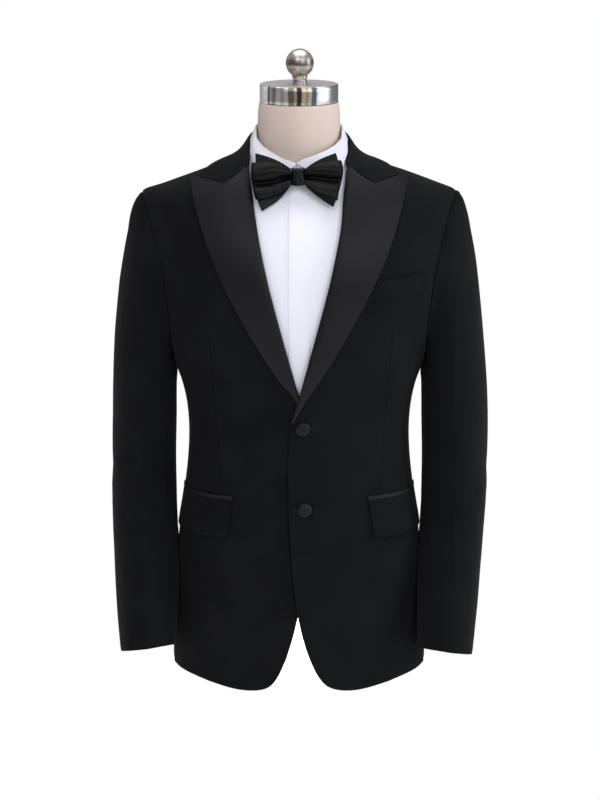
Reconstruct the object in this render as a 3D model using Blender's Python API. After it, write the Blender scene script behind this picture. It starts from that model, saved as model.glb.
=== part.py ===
# Tuxedo on a limbless dress form: peak-lapel dinner jacket, dress shirt, bow tie.
# Metres, +Z up.  The front faces -Y and the wearer's left is +X.
import bpy
import math
import numpy as np

# ------------------------------------------------------------------ sizes
WOOL = 0.0020            # jacket wall: cloth, canvas and facing together
SATIN = 0.0014           # lapel, jet and welt wall
SHIRT = 0.0010           # shirt wall
GAP = 0.0003             # clearance between neighbouring pieces
SEAM = 0.00018           # each panel stops this far short of its seam line

SHOULDER_Z = 0.7300      # shoulder point, where the sleeve head meets the seam
NECK_SIDE_Z = 0.7965     # inner end of the shoulder seam
NECK_BACK_Z = 0.7880     # back neck seam at centre back
GORGE = (0.0708, 0.7720)     # roll line meets the collar: x, z
ROLL_T = 0.0030          # the lapel turns over this far inside the visible roll
NOTCH = (0.1066, 0.7440)
PEAK = (0.1564, 0.7515)
SIDE_SEAM = (74.0, 76.0)     # front to side panel seam: degrees at armhole, at hem
BACK_SEAM = (119.5, 122.0)   # side panel to back seam
SIDE_SEAM_TOP = 0.5150
BACK_SEAM_TOP = 0.5722

BUTTON_R = 0.0112
BUTTON_T = 0.0048
BUTTONS = ((0.0056, 0.3995, 0.0009), (0.0080, 0.2800, 0.0006))   # x, z, rise: upper, lower

CAP_R = 0.0573
CAP_Z = (0.8580, 0.8844)
BALL_R = 0.0210
BALL_Z = 0.9160
BASE_R = 0.0850
BASE_T = 0.0120
COLUMN_R = 0.0175
FORM_Z = 0.1240          # flat underside of the torso

# jacket body, outside face: height, half width, front and back depth, squareness
BODY = (
    (0.000, 0.1895, 0.1270, 0.1265, 2.50),
    (0.040, 0.1883, 0.1272, 0.1260, 2.50),
    (0.110, 0.1843, 0.1265, 0.1240, 2.50),
    (0.165, 0.1812, 0.1255, 0.1215, 2.48),
    (0.230, 0.1790, 0.1235, 0.1160, 2.45),
    (0.274, 0.1722, 0.1215, 0.1095, 2.42),
    (0.319, 0.1658, 0.1195, 0.1025, 2.40),
    (0.375, 0.1620, 0.1180, 0.0980, 2.38),
    (0.410, 0.1638, 0.1195, 0.0990, 2.36),
    (0.455, 0.1742, 0.1240, 0.1035, 2.34),
    (0.480, 0.1822, 0.1270, 0.1070, 2.32),
    (0.500, 0.1890, 0.1295, 0.1105, 2.30),
    (0.535, 0.2020, 0.1335, 0.1160, 2.30),
    (0.572, 0.2120, 0.1365, 0.1205, 2.30),
    (0.605, 0.2190, 0.1368, 0.1225, 2.30),
    (0.6600, 0.2228, 0.1275, 0.1205, 2.24),
    (0.7000, 0.2242, 0.1090, 0.1130, 2.12),
    (0.7295, 0.2258, 0.0925, 0.1020, 1.98),
    (0.7370, 0.2100, 0.0882, 0.0985, 1.96),
    (0.7425, 0.1915, 0.0850, 0.0955, 1.96),
    (0.7555, 0.1550, 0.0780, 0.0885, 1.97),
    (0.7680, 0.1200, 0.0725, 0.0820, 1.98),
    (0.7770, 0.0975, 0.0690, 0.0785, 2.00),
    (0.7850, 0.0845, 0.0662, 0.0765, 2.00),
    (0.8000, 0.0715, 0.0632, 0.0735, 2.00),
    (0.8060, 0.0668, 0.0620, 0.0722, 2.00),
)

# roll line of the lapel down to the break: height, distance from centre
ROLL = ((0.4508, 0.0006), (0.4655, 0.0042), (0.515, 0.0180), (0.565, 0.0312),
        (0.610, 0.0428), (0.655, 0.0527), (0.700, 0.0610), (0.7468, 0.0673),
        (0.7720, 0.0708))
# outer edge of the lapel, break to peak
LAPEL = ((0.4574, 0.0196), (0.4864, 0.0390), (0.520, 0.0598), (0.555, 0.0794),
         (0.592, 0.0989), (0.6211, 0.1131), (0.660, 0.1290), (0.700, 0.1427),
         (0.732, 0.1515), (0.7515, 0.1564))
# cut-away front edge below the break, on the overlapping side: height, x
EDGE = ((0.0336, 0.0244), (0.0566, 0.0130), (0.0792, 0.0070), (0.116, -0.0018),
        (0.1835, -0.0093), (0.248, -0.0140), (0.311, -0.0159), (0.353, -0.0159),
        (0.395, -0.0148), (0.4128, -0.0050), (0.428, 0.0022), (0.4508, 0.0014))
# hem height round the body: degrees from centre front, height
HEM = ((5.0, 0.0336), (6.8, 0.0205), (9.0, 0.0112), (12.5, 0.0068), (20.3, 0.0078),
       (26.8, 0.0101), (33.0, 0.0140), (41.0, 0.0174), (49.0, 0.0214), (68.0, 0.0276),
       (76.0, 0.0308), (90.0, 0.0370), (122.0, 0.0440), (150.0, 0.0465),
       (180.0, 0.0470))
# armhole seam from the shoulder point forward to the underarm: height, degrees
ARM_FRONT = ((0.7295, 90.0), (0.7200, 82.5), (0.6977, 75.3), (0.6665, 68.0),
             (0.6343, 63.0), (0.6035, 61.2), (0.5722, 62.0), (0.5400, 66.0),
             (0.5150, 74.0), (0.5015, 83.0), (0.4980, 90.0))
ARM_BACK = ((0.7295, 90.0), (0.7200, 98.0), (0.6977, 106.0), (0.6665, 112.0),
            (0.6343, 116.5), (0.6035, 119.0), (0.5722, 119.5), (0.5400, 115.5),
            (0.5150, 106.0), (0.5015, 96.5), (0.4980, 90.0))

# sleeve below the underarm: height, outer x, inner x, centre y, half depth, tilt
SLEEVE = (
    (0.4550, 0.2740, 0.1782, 0.0000, 0.0680, 0.00),
    (0.4100, 0.2760, 0.1802, 0.0000, 0.0665, 0.00),
    (0.3570, 0.2775, 0.1808, -0.0015, 0.0650, 0.03),
    (0.2980, 0.2763, 0.1806, -0.0070, 0.0622, 0.10),
    (0.2320, 0.2738, 0.1804, -0.0200, 0.0585, 0.18),
    (0.1620, 0.2700, 0.1795, -0.0430, 0.0550, 0.23),
    (0.1100, 0.2660, 0.1775, -0.0600, 0.0520, 0.23),
    (0.0600, 0.2610, 0.1785, -0.0740, 0.0485, 0.22),
)
CUFF_SHIFT = (0.0040, 0.0180)  # the wearer's left cuff hangs in and forward by these
CUFF_SLOPE = 0.11        # the cuff runs lower on its outer side
FORE_SEAM = 132.0        # sleeve seams, degrees round from the outer side
HIND_SEAM = 284.0


# ------------------------------------------------------------------ helpers
def smooth(table, at, column=1):
    """Monotone cubic through one column of a table with rising first column."""
    xs = np.array([row[0] for row in table], float)
    ys = np.array([row[column] for row in table], float)
    at = np.clip(np.asarray(at, float), xs[0], xs[-1])
    h = np.diff(xs)
    d = np.diff(ys) / h
    m = np.zeros(len(xs))
    m[0], m[-1] = d[0], d[-1]
    for k in range(1, len(xs) - 1):
        if d[k - 1] * d[k] > 0:
            w1, w2 = 2 * h[k] + h[k - 1], h[k] + 2 * h[k - 1]
            m[k] = (w1 + w2) / (w1 / d[k - 1] + w2 / d[k])
    i = np.clip(np.searchsorted(xs, at, side="right") - 1, 0, len(h) - 1)
    t = (at - xs[i]) / h[i]
    return ((2 * t ** 3 - 3 * t ** 2 + 1) * ys[i] + (t ** 3 - 2 * t ** 2 + t) * h[i] * m[i]
            + (3 * t ** 2 - 2 * t ** 3) * ys[i + 1] + (t ** 3 - t ** 2) * h[i] * m[i + 1])


def step(lo, hi, value):
    t = np.clip((np.asarray(value, float) - lo) / (hi - lo), 0, 1)
    return t * t * (3 - 2 * t)


def spline(points, count):
    """Evenly spaced points on a smooth curve through the given ones."""
    p = np.array(points, float)
    if len(p) > 2:
        ext = np.vstack([2 * p[0] - p[1], p, 2 * p[-1] - p[-2]])
        fine = []
        for k in range(len(p) - 1):
            a, b, c, d = ext[k:k + 4]
            t = np.linspace(0, 1, 24, endpoint=False)[:, None]
            fine.append(0.5 * (2 * b + (c - a) * t + (2 * a - 5 * b + 4 * c - d) * t ** 2
                               + (3 * b - a - 3 * c + d) * t ** 3))
        p = np.vstack(fine + [p[-1:]])
    return spaced(p, count)


def spaced(p, count):
    """Evenly spaced points along a polyline."""
    p = np.array(p, float)
    run = np.concatenate([[0], np.cumsum(np.linalg.norm(np.diff(p, axis=0), axis=1))])
    want = np.linspace(0, run[-1], count)
    return np.stack([np.interp(want, run, p[:, k]) for k in range(p.shape[1])], axis=1)


def section(z):
    return [smooth(BODY, z, k) for k in (1, 2, 3, 4)]


def level(x, y, z):
    """Less than one inside the body section at height z, more outside."""
    a, front, back, n = section(z)
    b = np.where(y < 0, front, back)
    return (np.abs(x) / a) ** n + (np.abs(y) / b) ** n


def body(degrees, z, out=0.0):
    """Point on the jacket body, moved out along the surface normal."""
    th = np.radians(degrees)
    z = np.asarray(z, float)
    a, front, back, n = section(z)
    s, c = np.sin(th), np.cos(th)
    x = a * np.sign(s) * np.abs(s) ** (2 / n)
    y = -np.where(c > 0, front, back) * np.sign(c) * np.abs(c) ** (2 / n)
    b = np.where(y < 0, front, back)
    g = np.stack([n / a * (np.abs(x) / a) ** (n - 1) * np.sign(x),
                  n / b * (np.abs(y) / b) ** (n - 1) * np.sign(y),
                  (level(x, y, z + 0.002) - level(x, y, z - 0.002)) / 0.004], axis=-1)
    g /= np.linalg.norm(g, axis=-1, keepdims=True)
    return np.stack([x, y, z * np.ones_like(x)], axis=-1) + g * np.asarray(out)[..., None]


def angle(x, z):
    """Degrees from centre front of the point at x on the front of the body."""
    a, _, _, n = section(z)
    r = np.clip(np.abs(x) / a, 0, 1) ** (n / 2)
    return np.degrees(np.arcsin(r)) * np.sign(x)


def rows(left, right, cols, bend=None):
    """Grid of (degrees, height) ruled between two matched boundaries."""
    t = np.linspace(0, 1, cols)[None, :, None]
    grid = left[:, None, :] * (1 - t) + right[:, None, :] * t
    if bend is not None:
        flat = left[0] * (1 - t[0]) + right[0] * t[0]
        fade = np.linspace(1, 0, len(left)) ** 3
        grid = grid + fade[:, None, None] * (bend - flat)[None]
    return grid


def short(grid):
    """Pull the border of a grid of points in by the seam allowance."""
    g = grid.copy()
    for line, inner in ((0, 1), (-1, -2)):
        for swap in (False, True):
            v = g.swapaxes(0, 1) if swap else g
            d = v[inner] - v[line]
            v[line] += SEAM * d / np.linalg.norm(d, axis=-1, keepdims=True)
    return g


def normals(grid):
    du, dv = np.gradient(grid, axis=0), np.gradient(grid, axis=1)
    n = np.cross(du, dv)
    return n / np.linalg.norm(n, axis=-1, keepdims=True)


def add(name, verts, faces, slot):
    """Object from points and faces, all faces turned outward."""
    v = np.asarray(verts, float)
    total = 0.0
    for f in faces:
        for k in range(1, len(f) - 1):
            total += np.dot(v[f[0]], np.cross(v[f[k]], v[f[k + 1]]))
    if total < 0:
        faces = [tuple(reversed(f)) for f in faces]
    mesh = bpy.data.meshes.new(name)
    mesh.from_pydata([tuple(p) for p in v], [], [tuple(int(i) for i in f) for f in faces])
    mesh.update()
    obj = bpy.data.objects.new(name, mesh)
    bpy.context.scene.collection.objects.link(obj)
    mesh.materials.append(slot)
    return obj


def wall(name, outer, inner, slot, ring=False):
    """Closed wall between two matched grids; a ring closes on its columns.

    Both faces are split along the same diagonals, so a thin wall never crosses itself.
    """
    rws, cls = outer.shape[:2]
    verts = np.concatenate([outer.reshape(-1, 3), inner.reshape(-1, 3)])
    o, off = (lambda i, j: i * cls + j % cls), rws * cls
    faces = []
    for i in range(rws - 1):
        for j in range(cls if ring else cls - 1):
            a, b, c, d = o(i, j), o(i, j + 1), o(i + 1, j + 1), o(i + 1, j)
            across = np.linalg.norm(verts[a] - verts[c]) < np.linalg.norm(verts[b] - verts[d])
            for tri in ((a, b, c), (a, c, d)) if across else ((a, b, d), (b, c, d)):
                faces.append(tri)
                faces.append(tuple(k + off for k in reversed(tri)))
    for j in range(cls if ring else cls - 1):
        for i, flip in ((0, True), (rws - 1, False)):
            q = (o(i, j), o(i, j + 1), o(i, j + 1) + off, o(i, j) + off)
            faces.append(q if not flip else tuple(reversed(q)))
    if not ring:
        for i in range(rws - 1):
            for j, flip in ((0, False), (cls - 1, True)):
                q = (o(i, j), o(i + 1, j), o(i + 1, j) + off, o(i, j) + off)
                faces.append(q if not flip else tuple(reversed(q)))
    return add(name, verts, faces, slot)


def lathe(name, profile, slot, centre=(0, 0, 0), segs=28, frame=None):
    """Solid of revolution from (radius, height) pairs, closed by end discs."""
    c = np.array(centre, float)
    ex, ey, ez = frame if frame is not None else np.eye(3)
    verts, faces, ring_at = [], [], []
    for r, h in profile:
        ring_at.append(len(verts))
        for k in range(segs):
            a = 2 * math.pi * k / segs
            verts.append(c + r * (math.cos(a) * ex + math.sin(a) * ey) + h * ez)
    for i in range(len(profile) - 1):
        for k in range(segs):
            j = (k + 1) % segs
            p, q = ring_at[i], ring_at[i + 1]
            faces.append((p + k, p + j, q + j, q + k))
    faces.append(tuple(reversed(range(segs))))
    faces.append(tuple(ring_at[-1] + k for k in range(segs)))
    return add(name, verts, faces, slot)


def material(name, colour, rough, metal=0.0):
    m = bpy.data.materials.new(name)
    m.use_nodes = True
    b = m.node_tree.nodes["Principled BSDF"]
    b.inputs["Base Color"].default_value = (*colour, 1)
    b.inputs["Roughness"].default_value = rough
    b.inputs["Metallic"].default_value = metal
    m.diffuse_color = (*colour, 1)
    return m


for old in list(bpy.data.objects):
    bpy.data.objects.remove(old, do_unlink=True)


# ------------------------------------------------------------------ jacket fronts
def lift(x, z):
    """The left front rides over the right one where the two overlap."""
    over = 1 - step(0.022, 0.075, x)
    low = 1 - step(0.470, 0.560, z)
    near = step(0.395, 0.425, z) * low
    return over * low * (WOOL + 2 * GAP + (SATIN + GAP) * near)


def drag(degrees, z):
    """Soft folds of the fronts: pulls from the top button and over the hip."""
    x = np.abs(degrees)
    pull = np.exp(-((z - 0.402 - 0.0011 * (x - 20)) / 0.016) ** 2)
    under = np.exp(-((z - 0.372 + 0.0007 * (x - 20)) / 0.018) ** 2)
    waist = (0.0016 * pull - 0.0014 * under) * step(8, 26, x) * (1 - step(52, 78, x))
    drop = 0.0012 * np.sin(np.radians(x * 6.0)) * (1 - step(0.06, 0.20, z)) * step(20, 35, x)
    return waist + drop


def place(side, degrees, z, out=0.0):
    """Outer face of a jacket front, for points moved out from it."""
    x = body(degrees, z)[..., 0]
    extra = lift(x, z) if side > 0 else 0.0
    p = body(degrees, z, np.asarray(out) + extra + drag(degrees, z))
    return p * np.array([side, 1, 1])


def centre_line(side):
    """Roll line and front edge from the gorge down to the cut-away corner."""
    roll = [(smooth(ROLL, z) + ROLL_T, z) for z in np.linspace(GORGE[1], 0.462, 12)]
    if side > 0:
        low = [(x + ROLL_T * step(0.415, 0.445, z), z) for z, x in reversed(EDGE)]
    else:
        low = [(0.0050, 0.449), (0.0, 0.440), (-0.0125, 0.400), (-0.0125, 0.200)]
        low += [(x + 0.0044, z) for z, x in reversed(EDGE) if z < 0.16]
    pts = roll + low
    return np.array([(angle(x, z), z) for x, z in pts])


def to_plane(p):
    """Degrees scaled to metres so that spacing along a curve is even."""
    return np.stack([p[:, 0] * 0.0026, p[:, 1]], axis=1)


def from_plane(p):
    return np.stack([p[:, 0] / 0.0026, p[:, 1]], axis=1)


def run(points, count, curved=True):
    q = to_plane(np.array(points, float))
    return from_plane(spline(q, count) if curved else spaced(q, count))


def join(*parts):
    return np.vstack([parts[0]] + [p[1:] for p in parts[1:]])


def hem_line(lo, hi, count):
    d = np.linspace(lo, hi, count)
    return np.stack([d, smooth(HEM, d)], axis=1)


def armhole(table, z_to, count):
    pts = [(d, z) for z, d in table if z >= z_to - 1e-6]
    return run(pts, count)


ROWS = (5, 9, 11)        # rows beside the shoulder seam, the armhole, the side seam


def split(line, heights, counts):
    """Resample a falling line in runs that end at the given heights."""
    fine = run(line, 400, curved=False)
    cuts = [0] + [int(np.argmin(np.abs(fine[:, 1] - h))) for h in heights] + [len(fine) - 1]
    parts = [run(fine[a:b + 1], n + 1, curved=False)
             for a, b, n in zip(cuts[:-1], cuts[1:], counts)]
    return join(*parts)


def front_grid(side, cols=10):
    left = split(centre_line(side), (0.705, 0.530), ROWS)
    seam = run([(90.0, NECK_SIDE_Z), (90.0, SHOULDER_Z)], ROWS[0] + 1)
    arm = armhole(ARM_FRONT, SIDE_SEAM_TOP, ROWS[1] + 1)
    low = np.array([(SIDE_SEAM[0], SIDE_SEAM_TOP), (SIDE_SEAM[1], smooth(HEM, SIDE_SEAM[1]))])
    right = join(seam, arm, run(low, ROWS[2] + 1, curved=False))
    grid = rows(left, right, cols)
    hem = run(hem_line(left[-1, 0], SIDE_SEAM[1], 60), cols, curved=False)
    fade = np.linspace(0, 1, len(left)) ** 4
    base = left[-1] + (right[-1] - left[-1]) * np.linspace(0, 1, cols)[:, None]
    return grid + fade[:, None, None] * (hem - base)[None]


wool = material("jacket_wool", (0.0085, 0.0088, 0.0100), 0.86)
satin = material("satin", (0.0150, 0.0150, 0.0185), 0.42)
cotton = material("shirt_cotton", (0.78, 0.775, 0.84), 0.80)
linen = material("form_linen", (0.64, 0.575, 0.51), 0.88)
chrome = material("polished_chrome", (0.78, 0.77, 0.75), 0.16, 1.0)
white = material("white_lacquer", (0.86, 0.86, 0.85), 0.40)

SIDES = (("left", 1), ("right", -1))
for word, side in SIDES:
    g = front_grid(side)
    outer = place(side, g[..., 0], g[..., 1])
    inner = place(side, g[..., 0], g[..., 1], -WOOL)
    wall("front_" + word, short(outer), short(inner), wool)

# side panels and backs
for word, side in SIDES:
    m = np.array([side, 1, 1])
    n_row, cols = ROWS[2] + 1, 5
    lo = run([(SIDE_SEAM[0], SIDE_SEAM_TOP), (SIDE_SEAM[1], smooth(HEM, SIDE_SEAM[1]))],
             n_row, curved=False)
    hi = run([(BACK_SEAM[0], BACK_SEAM_TOP), (BACK_SEAM[1], smooth(HEM, BACK_SEAM[1]))],
             n_row, curved=False)
    fwd = [(d, z) for z, d in ARM_FRONT if z <= SIDE_SEAM_TOP + 1e-6]
    aft = [(d, z) for z, d in reversed(ARM_BACK) if z <= BACK_SEAM_TOP + 1e-6]
    top = run(fwd + aft[1:], cols)
    g = rows(lo, hi, cols, bend=top)
    wall("side_" + word, short(body(g[..., 0], g[..., 1])) * m,
         short(body(g[..., 0], g[..., 1], -WOOL)) * m, wool)

    seam = run([(90.0, NECK_SIDE_Z), (90.0, SHOULDER_Z)], 6)
    arm = armhole(ARM_BACK, BACK_SEAM_TOP, 8)
    low = run([(BACK_SEAM[0], BACK_SEAM_TOP), (BACK_SEAM[1], smooth(HEM, BACK_SEAM[1]))],
              ROWS[2] + 1, curved=False)
    lo = join(seam, arm, low)
    mid = run([(180.0, NECK_BACK_Z), (180.0, 0.047)], 400, curved=False)
    hi = split(mid, (0.712, 0.575), (5, 7, ROWS[2]))
    g = rows(lo, hi, 8)
    nape = 0.0016 * np.exp(-((g[..., 1] - 0.715) / 0.02) ** 2) * step(130, 165, g[..., 0])
    waist = -0.0022 * np.exp(-((g[..., 1] - 0.395) / 0.022) ** 2) * step(128, 150, g[..., 0])
    fold = nape + waist
    wall("back_" + word, short(body(g[..., 0], g[..., 1], fold)) * m,
         short(body(g[..., 0], g[..., 1], fold - WOOL)) * m, wool)


# ------------------------------------------------------------------ sleeves
def sleeve_point(phi, z):
    """Point of the sleeve below the underarm; phi in degrees from the outer side."""
    a = np.radians(phi)
    xo, xi, yc, hy, tilt = [smooth(SLEEVE[::-1], z, k) for k in (1, 2, 3, 4, 5)]
    c, s = np.cos(a), np.sin(a)
    x = (xo + xi) / 2 + (xo - xi) / 2 * np.sign(c) * np.abs(c) ** 0.94
    y = yc - hy * np.sign(s) * np.abs(s) ** 0.94
    cuff = 1 - step(0.06, 0.24, z)
    elbow = np.exp(-((z - 0.352 - 0.012 * s) / 0.013) ** 2) * 0.0030
    break2 = np.exp(-((z - 0.306 + 0.016 * s) / 0.014) ** 2) * 0.0026
    inside = np.clip(np.sin(a) * 0.8 - np.cos(a) * 0.45, 0, 1)
    pinch = (elbow + break2) * inside
    x, y = x - pinch * c, y + pinch * s
    rise = -tilt * (y - yc) - cuff * CUFF_SLOPE * (x - (xo + xi) / 2)
    return np.stack([x, y, z + rise], axis=-1)


def sleeve_rings(phis, cap_rows=8, low_rows=12):
    """Rings of points from the armhole to the cuff at the given angles."""
    loop = np.array([(d, z) for z, d in ARM_FRONT]
                    + [(d, z) for z, d in reversed(ARM_BACK)][1:])
    fine = from_plane(spline(to_plane(loop), 721))
    at = np.linspace(0, 360, 721)
    deg, high = np.interp(phis, at, fine[:, 0]), np.interp(phis, at, fine[:, 1])
    start = body(deg, high) + np.array([2 * SEAM, 0, 0])
    end = sleeve_point(phis, np.full(len(phis), SLEEVE[0][0]))
    a = np.radians(phis)
    top = ((1 + np.cos(a)) / 2) ** 1.5
    under = ((1 - np.cos(a)) / 2) ** 2
    mid = 1 - top - under
    fwd = -np.sin(a)
    c1 = start + np.stack([0.024 * top + 0.014 * mid, 0.006 * fwd,
                           0.002 * top ** 4 - 0.012 * under], axis=-1)
    c2 = end + np.stack([-0.0140 * top, 0.004 * fwd,
                         0.165 * top + 0.075 * mid + 0.012 * under], axis=-1)
    out = []
    for t in np.linspace(0, 1, cap_rows) ** 1.15:
        out.append((1 - t) ** 3 * start + 3 * t * (1 - t) ** 2 * c1
                   + 3 * t * t * (1 - t) * c2 + t ** 3 * end)
    for z in np.linspace(SLEEVE[0][0], SLEEVE[-1][0], low_rows)[1:]:
        out.append(sleeve_point(phis, np.full(len(phis), z)))
    return np.array(out)


def sleeve_wall(phis):
    """Outer grid of the sleeve and its outward normals."""
    grid = sleeve_rings(phis % 360)
    round_ = sleeve_rings((phis + 0.6) % 360) - sleeve_rings((phis - 0.6) % 360)
    down = np.gradient(grid, axis=0)
    n = np.cross(round_, down)
    return grid, n / np.linalg.norm(n, axis=-1, keepdims=True)


# the top sleeve is one piece of cloth; its wall is parted at the elbow, where it bends
ELBOW_ROW = 10
SLEEVE_PARTS = (("top", HIND_SEAM - 360, FORE_SEAM, 13, 0, ELBOW_ROW + 1),
                ("fore", HIND_SEAM - 360, FORE_SEAM, 13, ELBOW_ROW, 19),
                ("under", FORE_SEAM, HIND_SEAM, 8, 0, 19))
for word, side in SIDES:
    for part, lo, hi, cols, first, last in SLEEVE_PARTS:
        grid, n = [g[first:last] for g in sleeve_wall(np.linspace(lo, hi, cols))]
        low = (1 - step(0.06, 0.26, grid[..., 2]))[..., None]
        bias = np.array([-side * CUFF_SHIFT[0], -CUFF_SHIFT[1] * max(side, 0), 0])
        m = np.array([side, 1, 1])
        wall("sleeve_" + part + "_" + word, short(grid + low * bias) * m,
             short(grid + low * bias - WOOL * n) * m, wool)


# ------------------------------------------------------------------ lapels and collar
def lapel_grid(side):
    """Mid surface of a lapel: rows from the collar down, columns from the roll out."""
    roll = [(smooth(ROLL, z), z) for z in np.linspace(GORGE[1] - 0.0008, 0.458, 30)]
    edge = [(smooth(LAPEL, z), z) for z in np.linspace(PEAK[1], 0.462, 30)]
    if side > 0:
        roll += [(0.0012, 0.4460), (0.0012, 0.4340), (-0.0014, 0.4215)]
        edge += [(0.0165, 0.4520), (0.0098, 0.4390), (0.0052, 0.4285), (0.0026, 0.4190)]
    else:
        roll += [(0.0002, 0.452), (0.0000, 0.4470)]
        edge += [(0.0150, 0.4560), (0.0070, 0.4455)]
    fall = np.linspace(0, 1, 20)[:, None] ** 0.9
    lo, hi = np.array(spaced(roll, 200)), np.array(spaced(edge, 200))
    k = (fall[:, 0] * 199).round().astype(int)
    lo, hi = lo[k], hi[k]
    t = np.array([0.0, 0.0, 0.0, 0.24, 0.46, 0.74, 1.0])
    dx = np.array([0.0017, 0.0009, 0.0060, 0, 0, 0, 0])
    h = np.array([-0.0012, 0.0012, 0.0050, 0.0052, 0.0046, 0.0036, 0.0024])
    grid = lo[:, None] * (1 - t)[None, :, None] + hi[:, None] * t[None, :, None]
    flat = grid[0].copy()
    top = np.array([flat[0], flat[1], flat[2],
                    (GORGE[0] + 0.52 * (NOTCH[0] - GORGE[0]), 0.7580), NOTCH,
                    (0.1330, 0.7496), PEAK])
    top[:, 1] -= np.array([0.0034, 0.0034, 0.0034, 0.0031, 0.0009, 0.0009, 0.0008])
    fade = np.clip(1 - np.arange(20) / 7.0, 0, 1)[:, None, None] ** 1.6
    grid = grid + fade * (top - flat)[None]
    width = (hi[:, 0] - lo[:, 0])[:, None]
    narrow = np.clip(width / 0.020, 0.15, 1)
    x, z = grid[..., 0] + np.minimum(dx, 0.0002 + 0.14 * width), grid[..., 1]
    h = np.broadcast_to(h, x.shape).copy()
    h[:, 2:4] = 0.0024 + (h[:, 2:4] - 0.0024) * narrow
    h[:, 4:] += 0.0036 * np.clip(1 - np.arange(20) / 5.0, 0, 1)[:, None]
    h[:, 0] += 0.0024 * (1 - narrow[:, 0])
    h[:, 1] += 0.0016 * (1 - narrow[:, 0])
    return angle(x, z), z, h


for word, side in SIDES:
    deg, z, h = lapel_grid(side)
    mid = place(side, deg, z, h) * np.array([side, 1, 1])
    n = normals(mid)
    n *= -np.sign(np.sum(n[..., 1]))
    m = np.array([side, 1, 1])
    wall("lapel_" + word, (mid + n * SATIN / 2) * m, (mid - n * SATIN / 2) * m, satin)

# collar line from the gorge round to centre back: fold of the collar
FOLD = ((0.0717, -0.0560, 0.7750), (0.0719, -0.0440, 0.7850), (0.0718, -0.0230, 0.7985),
        (0.0710, 0.0040, 0.8080), (0.0650, 0.0330, 0.8150), (0.0455, 0.0610, 0.8215),
        (0.0230, 0.0728, 0.8250), (0.0000, 0.0768, 0.8260))
# outer edge of the collar on the body: degrees, height
OUTER = ((56.0, 0.7510), (68.0, 0.7585), (80.0, 0.7660), (90.0, 0.7715), (108.0, 0.7720),
         (135.0, 0.7705), (158.0, 0.7695), (180.0, 0.7690))
# where the collar stands on the neck edge: degrees, height
NECKLINE = ((52.0, 0.7790), (62.0, 0.7842), (76.0, 0.7912), (91.0, 0.7985),
            (110.0, 0.7962), (135.0, 0.7937), (158.0, 0.7915), (180.0, 0.7896))


def collar_half(count):
    """Mid surface of half the collar: rows from its stand over the fold to its edge."""
    fold = spline(FOLD, count)
    out = from_plane(spline(to_plane(np.array(OUTER)), count))
    base = from_plane(spline(to_plane(np.array(NECKLINE)), count))
    near_end = 1 - step(0.12, 0.50, np.linspace(0, 1, count))
    far = body(out[:, 0], out[:, 1], GAP + WOOL / 2 + 0.0018 + 0.0020 * near_end)
    foot = body(base[:, 0], base[:, 1], -WOOL / 2)
    away = far - foot
    away[:, 2] = 0
    away /= np.linalg.norm(away, axis=1, keepdims=True)
    run_ = np.gradient(fold, axis=0)
    run_ /= np.linalg.norm(run_, axis=1, keepdims=True)
    up = np.cross(run_, away)
    up *= np.sign(up[:, 2:3])
    up /= np.linalg.norm(up, axis=1, keepdims=True)
    t = np.linspace(0, 1, count)[:, None]
    stand_top = fold - away * 0.0014 - up * 0.0016
    fall_top = fold + away * 0.0016 - up * 0.0014
    keep = step(0.0, 0.16, t)
    hook = stand_top - up * 0.0024
    foot = hook * (1 - keep) + foot * keep
    rows_ = [foot, (foot + stand_top) / 2, stand_top, fold, fall_top]
    notch = body(angle(NOTCH[0], NOTCH[1]), NOTCH[1], GAP + WOOL / 2 + 0.0028)
    for share in (0.30, 0.60, 0.82):
        p = fall_top * (1 - share) + far * share
        sag = 0.0045 - 0.0105 * step(0.06, 0.36, t) + 0.0065 * step(0.66, 1.0, t)
        p = p + (up * 0.6 + away * 0.4) * sag * math.sin(math.pi * share)
        if share <= 0.60:
            end = fall_top[0] * (1 - share / 0.60) + notch * share / 0.60
        else:
            end = notch + (far[0] - notch) * (share - 0.60) / 0.40
        end = end + np.array([0, 0, 0.0008])
        p = p + (end - p[0]) * (1 - step(0.0, 0.30, t))
        rows_.append(p)
    rows_.append(far)
    return np.array(rows_)


half = collar_half(15)
mid = np.concatenate([half, half[:, -2::-1] * np.array([-1, 1, 1])], axis=1)
n = normals(mid)
n *= np.sign(np.sum(n[-1, :, 2]))
wall("collar", mid + n * WOOL / 2, mid - n * WOOL / 2, wool)


# ------------------------------------------------------------------ pockets and buttons
def along(degrees, z, length):
    """Degrees reached after walking a length round the body at height z."""
    d = np.linspace(degrees, 130.0, 400)
    p = body(d, np.full(400, z))
    far = np.concatenate([[0], np.cumsum(np.linalg.norm(np.diff(p, axis=0), axis=1))])
    return float(np.interp(length, far, d))


DEGREE = 0.00297          # metres round the body in one degree


def patch(name, side, corners, us, vs, thick, slot, radius=0.0, clear=GAP):
    """Flat piece laid on a front between four corners given in degrees and height.

    us and vs are the shares of its columns and rows; its last corner may be rounded.
    """
    (a, b, c, d) = [np.array(q) for q in corners]
    u, v = np.array(us)[None, :, None], np.array(vs)[:, None, None]
    g = (a * (1 - u) + b * u) * (1 - v) + (d * (1 - u) + c * u) * v
    if radius:
        wide, deep = (b[0] - a[0]) * DEGREE, a[1] - d[1]
        near_u = np.clip(1 - u[..., 0] * wide / radius, 0, 1)
        near_v = np.clip(1 - (1 - v[..., 0]) * deep / radius, 0, 1)
        g[..., 0] += near_u * (1 - np.sqrt(1 - near_v ** 2 / 2)) * radius / DEGREE
        g[..., 1] += near_v * (1 - np.sqrt(1 - near_u ** 2 / 2)) * radius
    outer = place(side, g[..., 0], g[..., 1], clear + thick)
    inner = place(side, g[..., 0], g[..., 1], clear)
    return wall(name, outer, inner, slot)


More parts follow.
